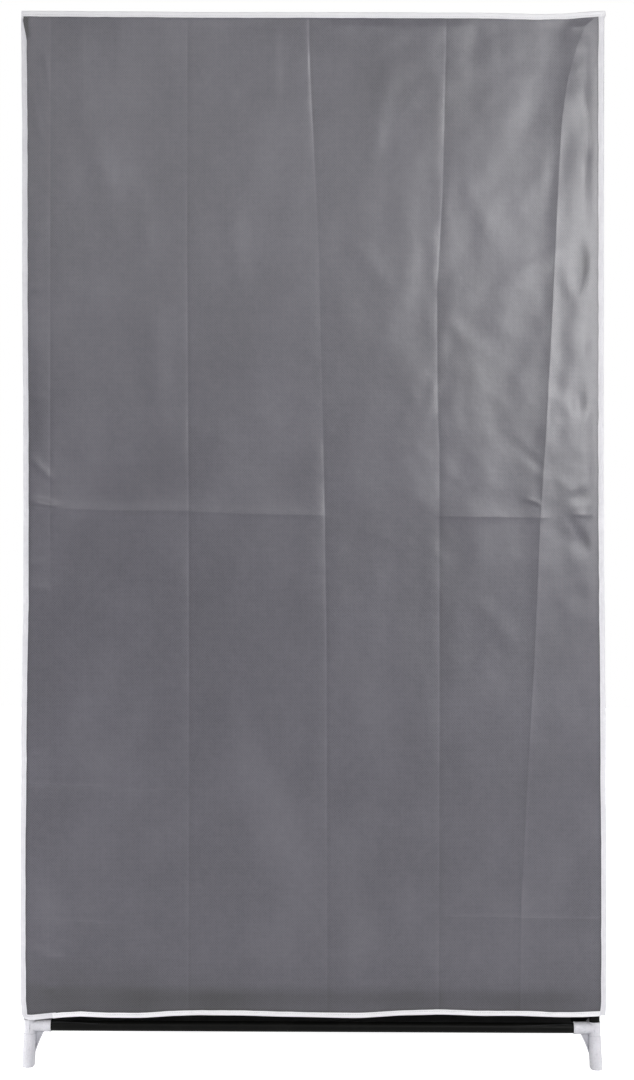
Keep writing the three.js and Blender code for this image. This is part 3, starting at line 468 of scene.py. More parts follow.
door = {
    "plane": -244.35, "cloth": 0.9, "bound": 8.5,  # its middle, thickness, and how much of it the tape covers
    "wide": 870, "tucked": {"side": 1.8, "end": 1.6},  # how far its edges lie in from the fold of the tape
    "left": [(70, -434.5), (82, -435.5), (95, -437.8), (163, -438.6), (344, -439), (434, -437.7), (524, -437.9),
             (704, -435.1), (975, -435.7), (1155, -437.5), (1425, -438.2), (1515, -439.6), (1558, -439.6),
             (1572, -440.7), (1582, -439.6)],
    # at the top of the left side the tape is pinched and stands away from the cloth, and the cloth in the gap
    # beside it is painted in shade
    "slit": {"low": 1546, "rise": 8, "gap": 1.6, "dark": 13, "soft": 2, "pinch": 0.7, "long": 40},
    "right": [(70, 441.4), (163, 441.7), (344, 441.4), (434, 439.9), (524, 439.6), (704, 437.5), (854, 436),
              (1155, 435.4), (1425, 435), (1590, 434.7)],
    "top": [(-440, 1589.7), (-426, 1589.7), (-291, 1588.6), (-171, 1587.5), (-21, 1587.2), (249, 1586),
            (339, 1583.8), (380, 1584.8), (414, 1587.8), (440, 1588.8)],
    "hem": [(-440, 72), (-426, 72), (-415, 73), (-398, 74.5), (-385, 76.2), (-348, 78.4), (-303, 76.6),
            (-258, 76.6), (-213, 79.6), (-168, 81), (-108, 81), (-48, 79.6), (12, 78.5), (72, 78), (132, 82),
            (192, 84), (252, 82), (312, 82.4), (372, 80.4), (402, 81), (428, 82.3), (445, 83)],
    # packing creases down the cloth: rows of (height, place across), rise, reach to its left and right, the
    # strength of its pale line (rubbed and painted highlight) and dark line (painted shade), the painted light
    # and shade of its two sides, and the share of all that by height
    "creases": [
        {"line": [(100, -395), (1550, -395.5)],
         "rise": -0.7, "reach": (6, 9), "lineMark": 0.12, "sides": (0.05, -0.02),
         "share": [(700, 0.2), (900, 1), (1590, 1)]},
        {"line": [(127, -185), (555, -185.6), (855, -186.5), (1230, -189.5), (1545, -190)],
         "rise": -0.8, "reach": (7, 7), "lineMark": 0.13, "sides": (0.01, -0.03), "share": [(90, 1), (1590, 1)]},
        {"line": [(127, 22.7), (645, 21), (845, 18), (1230, 8), (1418, -1), (1545, -7.5)],
         "rise": -0.7, "reach": (8, 10), "lineMark": 0.15, "sides": (0.02, -0.02),
         "share": [(90, 0.7), (600, 0.9), (860, 1), (1000, 0.35), (1300, 0.45), (1450, 1.6), (1590, 1.6)]},
        {"line": [(127, 190.3), (555, 190.6), (930, 189.6), (1005, 186.8), (1170, 185.7), (1320, 194),
                  (1537, 198.5)],
         "rise": -0.5, "reach": (8, 16), "lineMark": 0.17, "sides": (0.04, -0.05),
         "share": [(90, 0.9), (600, 1), (1590, 1)]},
        {"line": [(119, 312.3), (254, 313.5), (419, 321.7), (644, 334), (824, 341), (959, 349.5), (1154, 359.5),
                  (1260, 364), (1350, 368), (1410, 371), (1450, 375), (1490, 382), (1520, 390), (1546, 399),
                  (1568, 409), (1590, 417)],
         "rise": 1.6, "reach": (18, 48), "lineMark": -0.12, "sides": (-0.08, 0.05),
         "share": [(90, 0.8), (600, 0.9), (1000, 1), (1440, 0.95), (1500, 0.6), (1560, 0.35), (1590, 0.3)]},
    ],
    "columns": [18, 31, 31, 31, 31, 34],  # grid steps between the edges and the creases
    # creases across it: rows of (place across, height), rise, reach below and above, and where it runs
    "folds": [
        {"line": [(-430, 847), (-402, 842), (-300, 839), (-184, 838), (-100, 834), (18, 832), (190, 831),
                  (345, 829)],
         "rise": 1.5, "reach": (9, 15), "lineMark": 0.09, "sides": (-0.03, 0.02),
         "share": [(-420, 1.2), (-150, 0.9), (0, 0.8), (26, 0), (186, 0), (196, 0.45), (345, 0.5), (356, 0)]},
        {"line": [(-404, 428), (-198, 418)],
         "rise": 1.5, "reach": (8, 14), "lineMark": -0.1, "sides": (0.14, -0.12),
         "share": [(-420, 1), (-260, 0.8), (-180, 0)]},
        {"line": [(-404, 224), (-273, 216), (192, 231), (410, 229)],
         "rise": 1.1, "reach": (8, 12), "lineMark": -0.1, "sides": (0.14, -0.1),
         "share": [(-420, 1), (-330, 0.8), (-220, 0), (160, 0), (200, 0.8), (410, 1)]},
    ],
    "rows": [24, 28, 64, 144],  # grid steps between the hem, the folds and the top
    # a pale line, partly rubbed and partly painted highlight, and a dark line of painted shade along each:
    # centre and reach
    "creaseLine": {"pale": (-0.9, 1.7), "dark": (2.4, 2.0)},
    "foldLine": {"pale": (-8, 7), "dark": (2.5, 3.5)},
    "sideReach": 26,  # how far the painted light and shade on its two sides reach
    # short kinks: x and z of their start and end, rise, half width
    "kinks": [
        (295, 1186, 362, 1219, 1.1, 7), (288, 950, 343, 903, -0.45, 6), (322, 857, 340, 850, 0.6, 4),
        (362, 1008, 412, 972, 0.4, 9), (366, 886, 410, 852, 0.25, 8), (394, 834, 426, 832, 0.4, 4),
        (385, 826, 414, 780, -0.6, 6), (226, 1330, 262, 1262, 0.6, 9), (205, 1120, 262, 1072, 0.6, 10),
        (-427, 920, -394, 888, 1.2, 6), (-428, 853, -386, 845, 2.0, 7), (-428, 719, -395, 716, 2.0, 7),
        (-428, 760, -404, 757, 1.0, 6), (-428, 610, -392, 603, 1.8, 8), (-428, 1168, -398, 1176, 0.9, 6),
        (-404, 1520, -394, 1462, 0.8, 5), (-424, 1465, -410, 1400, 0.8, 6), (-172, 1502, -154, 1462, 0.9, 5),
        (-104, 1496, -120, 1462, 0.8, 5), (-425, 470, -396, 474, 0.8, 5), (-426, 138, -384, 118, 2.2, 8),
        (-424, 176, -372, 160, 1.8, 9), (405, 190, 428, 186, 1.0, 4), (406, 300, 428, 306, 0.8, 5),
        (60, 1240, 110, 1180, 0.6, 12), (-330, 1390, -290, 1250, 1.4, 18), (-262, 1320, -250, 1240, 1.2, 14),
        (-352, 1560, -346, 1420, 0.8, 10), (-290, 1565, -286, 1490, 0.7, 8), (-60, 1560, -58, 1460, 0.9, 9),
        (110, 1500, 90, 1380, 0.8, 12), (-240, 1130, -232, 1010, 0.9, 16), (-120, 1300, -110, 1180, 0.8, 14),
        (-428, 1010, -404, 1006, 0.6, 5), (-428, 356, -398, 350, 0.6, 5), (250, 700, 300, 640, 0.6, 14),
        (-90, 640, -20, 610, 0.5, 14), (-330, 700, -230, 680, 0.5, 16), (60, 380, 150, 350, 0.5, 16),
    ],
    "kinkMark": 0.2, "kinkTail": 0.3, "kinkEase": 0.5,  # the strength of their painted light and shade, and how their ends fade
    # small gathers under the top band: place across, length, rise, half width
    "gathers": [(-163, 60, 0.5, 5), (-8, 130, 0.9, 4), (44, 50, 0.8, 4), (54, 90, 0.6, 5), (-95, 40, 0.3, 7),
                (262, 120, 0.6, 11), (300, 170, 0.5, 14), (336, 90, 0.3, 9), (385, 120, 0.2, 11)],
    # places where the grip tape pulls the right side in: height, half height, depth
    "pulls": [(1208, 31, 2.0), (1000, 27, 1.6), (860, 12, 1.3), (792, 15, 1.2), (1420, 24, 0.7), (712, 15, 0.9),
              (560, 22, 0.7)],
    "pullPlace": 398, "pullReach": (12, 13),  # to the left and to the right of that place
    # painted shade in those dents: its middle across, reach and strength
    "pullShade": {"place": 408, "reach": 9, "dim": 0.24},
    # how far the cloth stands off its grip tape between those places, and where that begins
    "swell": {"rise": 0.85, "x": 366, "wide": 30, "z": 450, "tall": 350},
    # over the front strips it can't lie further back than this, and beside them there is room behind it
    "strip": 386, "stripRest": -0.25, "stripEase": 24, "room": 6,
    # soft bumps: squeeze in height, length, seed, share. They are stronger at the upper right
    "bumps": [(0.55, 44, 1, 1), (0.8, 19, 2, 0.45)], "drift": [(1, 260, 3, 1.6)],
    "calm": 0.55, "restless": 0.8, "restlessFrom": {"x": 20, "wide": 220, "z": 560, "tall": 420},
    "hemRoll": [(70, 0), (98, 0.3), (106, 2.5), (114, 5.0), (124, 6.0), (150, 4.4), (230, 0.9), (300, 0)],
    "rollShare": [(-430, 0), (-390, 0.12), (-240, 1), (380, 1), (425, 0.3), (440, 0)],
    # the relief comes up from the tape over the ease, a little slower at the right
    "easeFrom": 7.5, "ease": 17, "rightEase": 0.75, "markEase": 12,
    "seamShade": 0.45, "seamReach": 1.7,
    "hemShade": [(90, 0.5), (104, 0.62), (114, 0.62), (121, 0.36), (128, 0.1), (170, 0)],
    "shadeShare": [(-435, 0.5), (-380, 0.7), (-250, 1.1), (-60, 1.1), (60, 0.85), (200, 1), (380, 0.7),
                   (430, 0.4)],
    "lowLeft": {"dim": 0.26, "x": -40, "wide": 260, "z": 190, "tall": 80},  # painted shade, darker towards that corner
    "blotch": 0.17, "blotches": [(0.6, 120, 6, 1), (0.5, 42, 7, 0.6)],
    "hemWave": 90, "markWave": 60,  # how long the swings are in these levels and swings:
    "rollUneven": (0.8, 0.5), "shadeUneven": (0.85, 0.6), "markUneven": (0.8, 0.8),
}


def creaseRise(distance, rise, reach):
    # the reach is one length, or one for each side of the crease
    if isinstance(reach, tuple):
        reach = reach[0 if distance < 0 else 1]
    return rise * math.exp(-abs(distance) / reach)


def creaseMark(distance, look, line):
    # a crease gets a pale line, partly rubbed and partly painted highlight, and a dark line of painted shade,
    # and the cloth on its two sides is painted lighter and darker for how it faces the light
    pale, dark = (math.exp(-abs(distance - place) / reach) for place, reach in line.values())
    side = creaseRise(distance, look["sides"][0 if distance < 0 else 1], door["sideReach"])
    return look["lineMark"] * (pale - dark) + side


def kinkShape(x, z):
    rise = mark = 0.0
    tail, ease = door["kinkTail"], door["kinkEase"]
    for startX, startZ, endX, endZ, high, half in door["kinks"]:
        runX, runZ = endX - startX, endZ - startZ
        share = ((x - startX) * runX + (z - startZ) * runZ) / (runX * runX + runZ * runZ)
        if -tail < share < 1 + tail:
            aside = ((x - startX) * runZ - (z - startZ) * runX) / math.hypot(runX, runZ) / half
            level = high * bell(aside, 1) * smooth((share + tail) / ease) * smooth((1 + tail - share) / ease)
            rise += level
            # painted light and shade: one flank of the kink paler, the other darker
            mark -= level * aside * door["kinkMark"]
    return rise, mark


def pullShape(x, z):
    # the grip tape holds the cloth back at a few heights: how deep there, and how much painted shade darkens it
    aside, shade = x - door["pullPlace"], door["pullShade"]
    held = sum(depth * bell(z - height, half) for height, half, depth in door["pulls"])
    across = bell(aside, door["pullReach"][0 if aside < 0 else 1])
    return held * across, held * shade["dim"] * bell(x - shade["place"], shade["reach"])


def cornerShare(x, z, look):
    # 0 to 1 from a place to the right and upwards
    return smooth((x - look["x"]) / look["wide"]) * smooth((z - look["z"]) / look["tall"])


def doorRelief(x, z, lines, bends):
    # how far the door's cloth stands out at a place, and its mark there: rubbing and random tone, with painted
    # light and shade
    out, marked = kinkShape(x, z)
    pull, dimmed = pullShape(x, z)
    out -= pull
    marked -= dimmed
    for crease, line in zip(door["creases"], lines):
        share = along(crease["share"], z)
        out += share * creaseRise(x - line, crease["rise"], crease["reach"])
        marked += share * creaseMark(x - line, crease, door["creaseLine"])
    for fold, bend in zip(door["folds"], bends):
        share = along(fold["share"], x)
        out += share * creaseRise(z - bend, fold["rise"], fold["reach"])
        marked += share * creaseMark(bend - z, fold, door["foldLine"])
    top = along(door["top"], x)
    # gathers are painted paler where they rise: painted highlight
    for place, long, rise, half in door["gathers"]:
        level = rise * smooth(1 - (top - z) / long) * bell(x - place, half)
        out += level
        marked += level * door["kinkMark"]
    level = door["calm"] + (door["restless"] - door["calm"]) * cornerShare(x, z, door["restlessFrom"])
    out += level * bumpy(x, z, door["bumps"]) + bumpy(x, z, door["drift"])
    out += door["swell"]["rise"] * cornerShare(x, z, door["swell"])
    wave = ripple(x, 0, door["hemWave"], 4)
    out += along(door["hemRoll"], z) * along(door["rollShare"], x) * uneven(door["rollUneven"], wave)
    marked *= uneven(door["markUneven"], ripple(x, z, door["markWave"], 9))
    marked -= along(door["hemShade"], z) * along(door["shadeShare"], x) * uneven(door["shadeUneven"], wave)
    # painted shade towards the lower left corner
    low = door["lowLeft"]
    marked -= low["dim"] * smooth((low["z"] - z) / low["tall"]) * smooth((low["x"] - x) / low["wide"])
    marked += door["blotch"] * bumpy(x, z, door["blotches"])
    backmost = door["stripRest"] - door["room"] * smooth((door["strip"] - abs(x)) / door["stripEase"])
    return max(out, backmost), marked


def doorLines(z):
    return [along(crease["line"], z) for crease in door["creases"]]


def slitShare(z):
    return smooth((z - door["slit"]["low"]) / door["slit"]["rise"])


def doorFace(x, z, lines, bends):
    left, right = along(door["left"], z), along(door["right"], z)
    low, high = along(door["hem"], x), along(door["top"], x)
    out, marked = doorRelief(x, z, lines, bends)
    edge = min(x - left, right - x, high - z, z - low)
    inside = min(edge, (right - x) * door["rightEase"])
    stand = door["cloth"] / 2 + out * smooth((inside - door["easeFrom"]) / door["ease"])
    # painted shade along the inner edges of the tapes
    paintedShade = door["seamShade"] * math.exp(-max(edge - door["bound"], 0) / door["seamReach"])
    if x < 0:  # painted shade in the gap beside the loose top of the left tape
        paintedShade += slitShare(z) * smooth((left + door["slit"]["dark"] - x) / door["slit"]["soft"])
    return door["plane"] - stand, marked * smooth(edge / door["markEase"]) - paintedShade


def addDoorCloth(finish):
    side, end = door["tucked"]["side"], door["tucked"]["end"]
    columnPlaces, rowPlaces = bays(door["columns"]), bays(door["rows"])

    def place(column, row):
        bay, share = columnPlaces[column]
        bend, rise = rowPlaces[row]
        spread = column / (len(columnPlaces) - 1)
        x = door["left"][0][1] + spread * door["wide"]
        heights = [0] + sorted(along(fold["line"], x) for fold in door["folds"]) + [0]
        for step in range(2):  # twice, because the hem and the creases follow each other
            heights[0] = along(door["hem"], x) + end
            heights[-1] = along(door["top"], x) - end
            z = heights[bend] + (heights[bend + 1] - heights[bend]) * rise
            lines = doorLines(z)
            left = along(door["left"], z) + side + slitShare(z) * door["slit"]["gap"]
            walls = [left] + lines + [along(door["right"], z) - side]
            x = walls[bay] + (walls[bay + 1] - walls[bay]) * share
        y, marked = doorFace(x, z, lines, [along(fold["line"], x) for fold in door["folds"]])
        return Vector((x, y, z)), (x, z), marked

    shape = addSheet(len(columnPlaces) - 1, len(rowPlaces) - 1, place, door["cloth"])
    piece = addPiece("door_cloth", shape, [finish], ["door_panel_upper", "door_panel_lower"], slot="grey_cloth")
    return blendDoor(piece)


def blendDoor(piece):
    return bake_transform(piece)


tape = {
    "wall": 0.5, "half": 1.3,  # thickness of a wall, and from the middle to its outside
    "wallShares": (0.86, 0.35, 0.2), "groove": 0.7,  # points of a wall in shares of its width, half the groove
    "step": 7, "lift": 0.3, "liftLong": 16, "backLift": -0.4, "foldPoints": 7,
    "waver": 0.35, "waverLong": 60, "edgeWaver": 0.5, "edgeLong": 23,  # of the fold, and of the walls' edges
    "stitchShare": 0.68, "stitchPitch": 3.6, "stitchLong": 2.5, "stitchRadius": 0.3, "stitchSink": 0.22,
    "stitchSides": 5,
}


def tapeProfile(width):
    # rows of (place in from the fold, place through the tape), from the back wall round to the front
    half, groove, wide = tape["half"], tape["stitchShare"] * width, tape["groove"]
    outer, inner, near = (width * share for share in tape["wallShares"])
    wall = [width, outer, groove + wide, groove, groove - wide, inner, near]
    turns = [math.pi * (i / (tape["foldPoints"] - 1) - 0.5) for i in range(tape["foldPoints"])]
    sink = [0, 0, 0, tape["stitchSink"], 0, 0, 0]
    back = [(place, -half + low) for place, low in zip(wall, sink)]
    nose = [(half * (1 - math.cos(turn)), half * math.sin(turn)) for turn in turns]
    front = [(place, half - low) for place, low in zip(reversed(wall), reversed(sink))]
    return back + nose + front


def walk(points):
    # evenly spaced points along a line of points, with how far along each one is
    lengths = [0]
    for start, end in zip(points, points[1:]):
        lengths.append(lengths[-1] + (end - start).length)
    count = max(2, round(lengths[-1] / tape["step"]))
    made, at = [], 0
    for i in range(count + 1):
        place = lengths[-1] * i / count
        while at < len(points) - 2 and lengths[at + 1] < place:
            at += 1
        share = (place - lengths[at]) / max(lengths[at + 1] - lengths[at], 1e-9)
        made.append(points[at].lerp(points[at + 1], min(share, 1)))
    return made, lengths[-1]


def frames(points, front):
    # at each point of a tape's folded edge: the point, and the way in to the cloth
    made = []
    for i, point in enumerate(points):
        run = (points[min(i + 1, len(points) - 1)] - points[max(i - 1, 0)]).normalized()
        made.append((point, front.cross(run).normalized()))
    return made


def addTape(name, points, width, front, finishes, seed, pinch=0.0, pinchLong=1.0, paintedLight=0.0, **ties):
    spaced, long = walk(points)
    edges = frames(spaced, front)
    profile = tapeProfile(width)

    def place(column, row):
        point, inward = edges[column]
        across, through = profile[row]
        run = long * column / (len(edges) - 1)
        share = across / width
        across *= 1 - pinch * smooth(1 - run / pinchLong)
        waver = tape["waver"] * ripple(run, 0, tape["waverLong"], seed) * (1 - share)
        waver += tape["edgeWaver"] * ripple(run, share, tape["edgeLong"], seed + 3) * share
        lift = tape["lift"] * share * share * (1 + ripple(run, 0, tape["liftLong"], seed + 5))
        lift *= 1 if through > 0 else tape["backLift"]
        spot = (run, across if through > 0 else -across)
        # the whole tape carries its painted light as its mark
        return point + inward * (across + waver) + front * (through + lift), spot, paintedLight

    shape = addSheet(len(edges) - 1, len(profile) - 1, place, tape["wall"])
    addStitches(shape, edges, long, width, front, pinchLong)
    return addPiece(name, shape, finishes, sharp=50, **ties)


def addStitches(shape, edges, long, width, front, start):
    # one run of short thread stitches in the groove of the front wall
    count = int(long / tape["stitchPitch"])
    for i in range(1 + int(start / tape["stitchPitch"]), count):
        at = (len(edges) - 1) * i / count
        low = min(int(at), len(edges) - 2)
        point = edges[low][0].lerp(edges[low + 1][0], at - low)
        inward = edges[low][1].lerp(edges[low + 1][1], at - low)
        run = inward.cross(front).normalized()
        centre = point + inward * tape["stitchShare"] * width + front * tape["half"]
        turn = run.to_track_quat("Z", "Y").to_matrix().to_4x4()
        made = bmesh.ops.create_cone(shape, cap_ends=True, segments=tape["stitchSides"],
                                     radius1=tape["stitchRadius"], radius2=tape["stitchRadius"],
                                     depth=tape["stitchLong"], matrix=Matrix.Translation(centre) @ turn)
        for face in {face for vert in made["verts"] for face in vert.link_faces}:
            face.material_index = 1


def rounded(points, passes=3):
    # takes the corner off a line of points
    for turn in range(passes):
        middles = [start.lerp(end, share) for start, end in zip(points, points[1:]) for share in (0.25, 0.75)]
        points = [points[0]] + middles + [points[-1]]
    return points


doorTapes = {
    "sideWidth": 8.3, "hemWidth": 7.8, "topWidth": 8.8,
    "sideTop": 1579.9, "sideStep": 20, "sidePoints": 75, "points": 60,
    # the left tape turns the corner (places out from its edge, and heights) and runs on under the hem tape
    "leftLow": 95, "corner": [(-1, 92), (0, 75), (11, 72)], "cornerAt": 84, "tail": (-410, -384),
    "rightLow": 90, "rightEnd": 83.2, "rightTuck": 1.6, "rightEase": 6,
    "hemStart": -389, "hemGap": 0.3, "hemLap": {"x": -378, "wide": 12, "out": 0.5, "down": 0.4},
    "topAt": 1585, "topOver": 1.3,  # how far the top tape runs on past the right tape
    "hemPaintedLight": 0.9, "topPaintedLight": 0.6,  # painted light: how much whiter the hem and top tapes are drawn than the side ones, standing in for more light on them
}


def addDoorTapes(finishes):
    plane, look = door["plane"], doorTapes
    front, width = -axisY, look["sideWidth"]
    heights = [look["sideTop"] - i * look["sideStep"] for i in range(look["sidePoints"])]
    left = [Vector((along(door["left"], z), plane, z)) for z in heights if z > look["leftLow"]]
    cornerX = along(door["left"], look["cornerAt"])
    turn = [Vector((cornerX + out, plane, z)) for out, z in look["corner"]]
    turn += [Vector((x, plane, along(door["hem"], x))) for x in look["tail"]]
    low = look["rightLow"]
    right = []
    for z in [look["rightEnd"]] + [z for z in reversed(heights) if z > low]:
        tuck = look["rightTuck"] * smooth((low - z) / look["rightEase"])
        right.append(Vector((along(door["right"], z) - tuck, plane, z)))
    hem, lap = [], look["hemLap"]
    for x in spacedPlaces(look["hemStart"], along(door["right"], low) - width - look["hemGap"], look["points"]):
        share = smooth((lap["x"] - x) / lap["wide"])
        hem.append(Vector((x, plane - lap["out"] * share, along(door["hem"], x) - lap["down"] * share)))
    topEnds = along(door["right"], look["topAt"]) + look["topOver"], along(door["left"], look["topAt"])
    top = [Vector((x, plane, along(door["top"], x))) for x in spacedPlaces(*topEnds, look["points"])]
    return [
        blendDoor(addTape("binding_left", left + rounded(turn), width, front, finishes, 1, slot="white_tape",
                          nodes=["binding_door_left_upper", "binding_door_left_lower"],
                          pinch=door["slit"]["pinch"], pinchLong=door["slit"]["long"])),
        blendDoor(addTape("binding_right", right, width, front, finishes, 2, slot="white_tape",
                          nodes=["binding_door_right_upper", "binding_door_right_lower"])),
        addTape("binding_hem", hem, look["hemWidth"], front, finishes, 3, slot="white_tape",
                nodes=["binding_door_hem"], body="door_lower", paintedLight=look["hemPaintedLight"]),
        addTape("binding_top", top, look["topWidth"], front, finishes, 4, slot="white_tape",
                nodes=["binding_door_top"], body="door_upper", paintedLight=look["topPaintedLight"]),
    ]


def spacedPlaces(start, end, count):
    return [start + (end - start) * i / count for i in range(count + 1)]


def nodeSpan(node):
    low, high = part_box(node)
    return low / mm, high / mm


# the cover's tapes: node, the way it runs, the way in from its fold, and the way its front faces
coverTapes = [
    ("binding_roof_left", axisY, -axisZ, -axisX), ("binding_roof_right", axisY, -axisZ, axisX),
    ("binding_roof_back", axisX, -axisZ, axisY), ("binding_back_left", axisZ, -axisY, -axisX),
    ("binding_back_right", axisZ, -axisY, axisX), ("binding_hem_left", axisY, axisZ, -axisX),
    ("binding_hem_right", axisY, axisZ, axisX), ("binding_hem_back", axisX, axisZ, axisY),
]


def addCoverTapes(finishes):
    pieces = []
    for seed, (node, run, inward, front) in enumerate(coverTapes):
        low, high = nodeSpan(node)
        middle, size = (low + high) / 2, high - low
        width = abs(size.dot(inward))
        edge = middle - inward * width / 2
        reach = run * size.dot(run) / 2
        points = [edge - reach, edge + reach]
        if front.cross(run).dot(inward) < 0:
            points.reverse()
        pieces.append(addTape(node.replace("binding", "tape"), points, width, front, finishes, 20 + seed,
                              nodes=[node], body="cover", slot="white_tape"))
    return pieces


panel = {
    "cloth": 0.9, "creaseWear": 0.3, "wearReach": 1.6, "creaseReach": 14, "foldReach": 16,
    "folds": [222, 420, 845, 1240],  # heights of the packing folds, as on the door
    "foldRise": 0.6, "foldUneven": (0.4, 0.6), "foldWave": 190, "foldLean": 0.02,
    "flutter": 0.5, "bumps": [(0.5, 70, 1, 1), (1, 24, 2, 0.4)],
    "held": 12, "ease": 30, "markEase": 12, "bellyEnds": 3, "tuck": 0.9, "tuckWide": 40,
    "rows": [14, 16, 26, 24, 22],
}
# the panels: node, the ways it faces and runs, its creases and their rise, grid steps between them, seed, belly
coverPanels = [
    ("side_panel_left", -axisX, axisY, [(-120, 0.7), (118, 0.6)], [16, 22, 16], 61, 3.5),
    ("side_panel_right", axisX, axisY, [(-118, 0.6), (121, 0.7)], [16, 22, 16], 67, 3.5),
    ("back_panel", axisY, axisX, [(-217, 1.2), (2, 0.9), (215, 1.2)], [22, 22, 22, 22], 73, 3.0),
]


def panelRelief(across, up, creases, seed):
    # how far the cloth stands out at a place, and how much it is rubbed there
    lines = [(across - place, rise, panel["creaseReach"], 1) for place, rise in creases]
    for height in panel["folds"]:
        share = uneven(panel["foldUneven"], abs(ripple(across, height, panel["foldWave"], seed)))
        line = height + panel["foldLean"] * across
        lines.append((up - line, panel["foldRise"] * share, panel["foldReach"], share))
    out = panel["flutter"] * bumpy(across, up, panel["bumps"], seed)
    out += sum(creaseRise(distance, rise, reach) for distance, rise, reach, share in lines)
    return out, max(share * creaseRise(distance, panel["creaseWear"], panel["wearReach"])
                    for distance, rise, reach, share in lines)


def addPanel(node, normal, run, creases, columns, seed, belly, finish):
    # an upright panel of the cover: creased, bellied out between its edges, flat where it is bound
    low, high = nodeSpan(node)
    inner = min(abs(low.dot(normal)), abs(high.dot(normal)))
    start, end = low.dot(run), high.dot(run)
    behind = 1 if run.cross(axisZ).dot(normal) > 0 else -1
    columnPlaces = lineBays([start] + [place for place, rise in creases] + [end], columns)
    rowPlaces = lineBays([low.z] + panel["folds"] + [high.z], panel["rows"])

    def place(column, row):
        across, up = columnPlaces[column], rowPlaces[row]
        out, paleMark = panelRelief(across, up, creases, seed)
        inside = min(across - start, end - across, up - low.z, high.z - up)
        wide = (across - start) / (end - start)
        tall = (up - low.z) / (high.z - low.z)
        ends = smooth(tall * panel["bellyEnds"]) * smooth((1 - tall) * panel["bellyEnds"])
        out += belly * math.sin(math.pi * wide) * ends
        depth = inner + panel["cloth"] + max(out, 0.0) * smooth((inside - panel["held"]) / panel["ease"])
        if run.y:  # the front edge of a side panel lies close behind the door's edge
            depth -= panel["tuck"] * (1 - smooth((across - start) / panel["tuckWide"]))
        point = run * across + normal * depth + axisZ * up
        return point, (across, up), paleMark * smooth(inside / panel["markEase"])

    shape = addSheet(len(columnPlaces) - 1, len(rowPlaces) - 1, place, panel["cloth"] * behind)
    return addPiece(node.replace("panel", "cloth"), shape, [finish], [node], "cover", "grey_cloth")


def lineBays(lines, counts):
    return [lines[bay] + (lines[bay + 1] - lines[bay]) * share for bay, share in bays(counts)]


uprights = {"x": 425, "y": 229, "middle": -1.15}  # where they stand: half across, half deep, their middle


roof = {
    "sag": 4.0, "rest": 1581.75, "lipTop": 1.9, "lipY": -241.3, "lipWear": 0.1,
    "columns": 96, "rows": 58, "lipRows": 6, "edgeX": 5, "edgeY": 4, "sagShares": (0.75, 0.25),
    "creases": [(-150, 0.9), (145, 0.9)], "crossCrease": 0.6, "creaseReach": 12, "lineMark": 0.3, "wearReach": 2,
    "wrinkle": 0.455, "bumps": [(1, 60, 31, 1), (1, 22, 32, 0.5)],
}


def addRoof(finish):
    low, high = nodeSpan("roof_panel")
    backY, frontY = high.y, roof["lipY"]
    rowsFlat = roof["rows"]

    def place(column, row):
        x = low.x + (high.x - low.x) * column / roof["columns"]
        if row > rowsFlat:  # the front lip, which goes up behind the door's top tape
            lipHeight = along(door["top"], x) - roof["lipTop"]
            rise = (lipHeight - roof["rest"]) * (row - rowsFlat) / roof["lipRows"]
            return Vector((x, frontY, roof["rest"] + rise)), (x, frontY - rise), roof["lipWear"]
        y = backY + (frontY - backY) * row / rowsFlat
        acrossShare = 1 - min(abs(x) / uprights["x"], 1) ** 2
        alongShare = 1 - min(abs(y - uprights["middle"]) / uprights["y"], 1) ** 2
        soft = smooth(acrossShare * roof["edgeX"]) * smooth(alongShare * roof["edgeY"])
        sag = roof["sag"] * uneven(roof["sagShares"], acrossShare * alongShare)
        lines = [(x - line, rise) for line, rise in roof["creases"]] + [(y, roof["crossCrease"])]
        ridge = sum(creaseRise(distance, rise, roof["creaseReach"]) for distance, rise in lines)
        paleMark = max(creaseRise(distance, roof["lineMark"], roof["wearReach"]) for distance, rise in lines)
        z = roof["rest"] + soft * (ridge + roof["wrinkle"] * bumpy(x, y, roof["bumps"]) - sag)
        return Vector((x, y, z)), (x, y), paleMark

    shape = addSheet(roof["columns"], rowsFlat + roof["lipRows"], place, -panel["cloth"])
    return addPiece("roof_cloth", shape, [finish], ["roof_panel"], "cover", "grey_cloth")


ribbon = {"cloth": 0.9, "columns": 10, "step": 9, "wave": 60, "squeeze": 0.4}


def addStrip(name, nodes, finish, slot, body, wave, seed):
    # a long narrow flat piece: the cover's front strips and the grip tapes
    lows, highs = zip(*(nodeSpan(node) for node in nodes))
    low, high = Vector(map(min, zip(*lows))), Vector(map(max, zip(*highs)))
    rows = round((high.z - low.z) / ribbon["step"])

    def place(column, row):
        x = low.x + (high.x - low.x) * column / ribbon["columns"]
        z = low.z + (high.z - low.z) * row / rows
        out = wave * ripple(x * ribbon["squeeze"], z, ribbon["wave"], seed)
        return Vector((x, (low.y + high.y - ribbon["cloth"]) / 2 + out, z)), (x, z), 0.0

    shape = addSheet(ribbon["columns"], rows, place, ribbon["cloth"])
    piece = addPiece(name, shape, [finish], nodes, body, slot)
    return piece if body else blendDoor(piece)


floorCloth = {
    "cloth": 0.9, "over": 1.0, "sag": 4.5, "sagWide": 150, "radius": 8.0, "railZ": 61.7, "railIn": 7,
    "bendShare": 0.5, "bendDrop": 1.2, "least": 65.3, "ease": 60, "notch": (391, 194.5),
    "wrinkle": 0.5, "bumps": [(1, 70, 41, 1), (1, 26, 42, 0.5)],
    "crease": 140, "creaseRise": 0.8, "creaseReach": 14, "lineMark": 0.25, "wearReach": 2,
    # its edge is turned down behind the front and back sleeves: how far, and the starts and runs of that
    "tuck": 10.5, "tuckY": (183, 10), "tuckIn": (391, 4), "tuckOut": (416, 5),
    "columns": [12, 90, 12], "rows": [8, 64, 8],
}


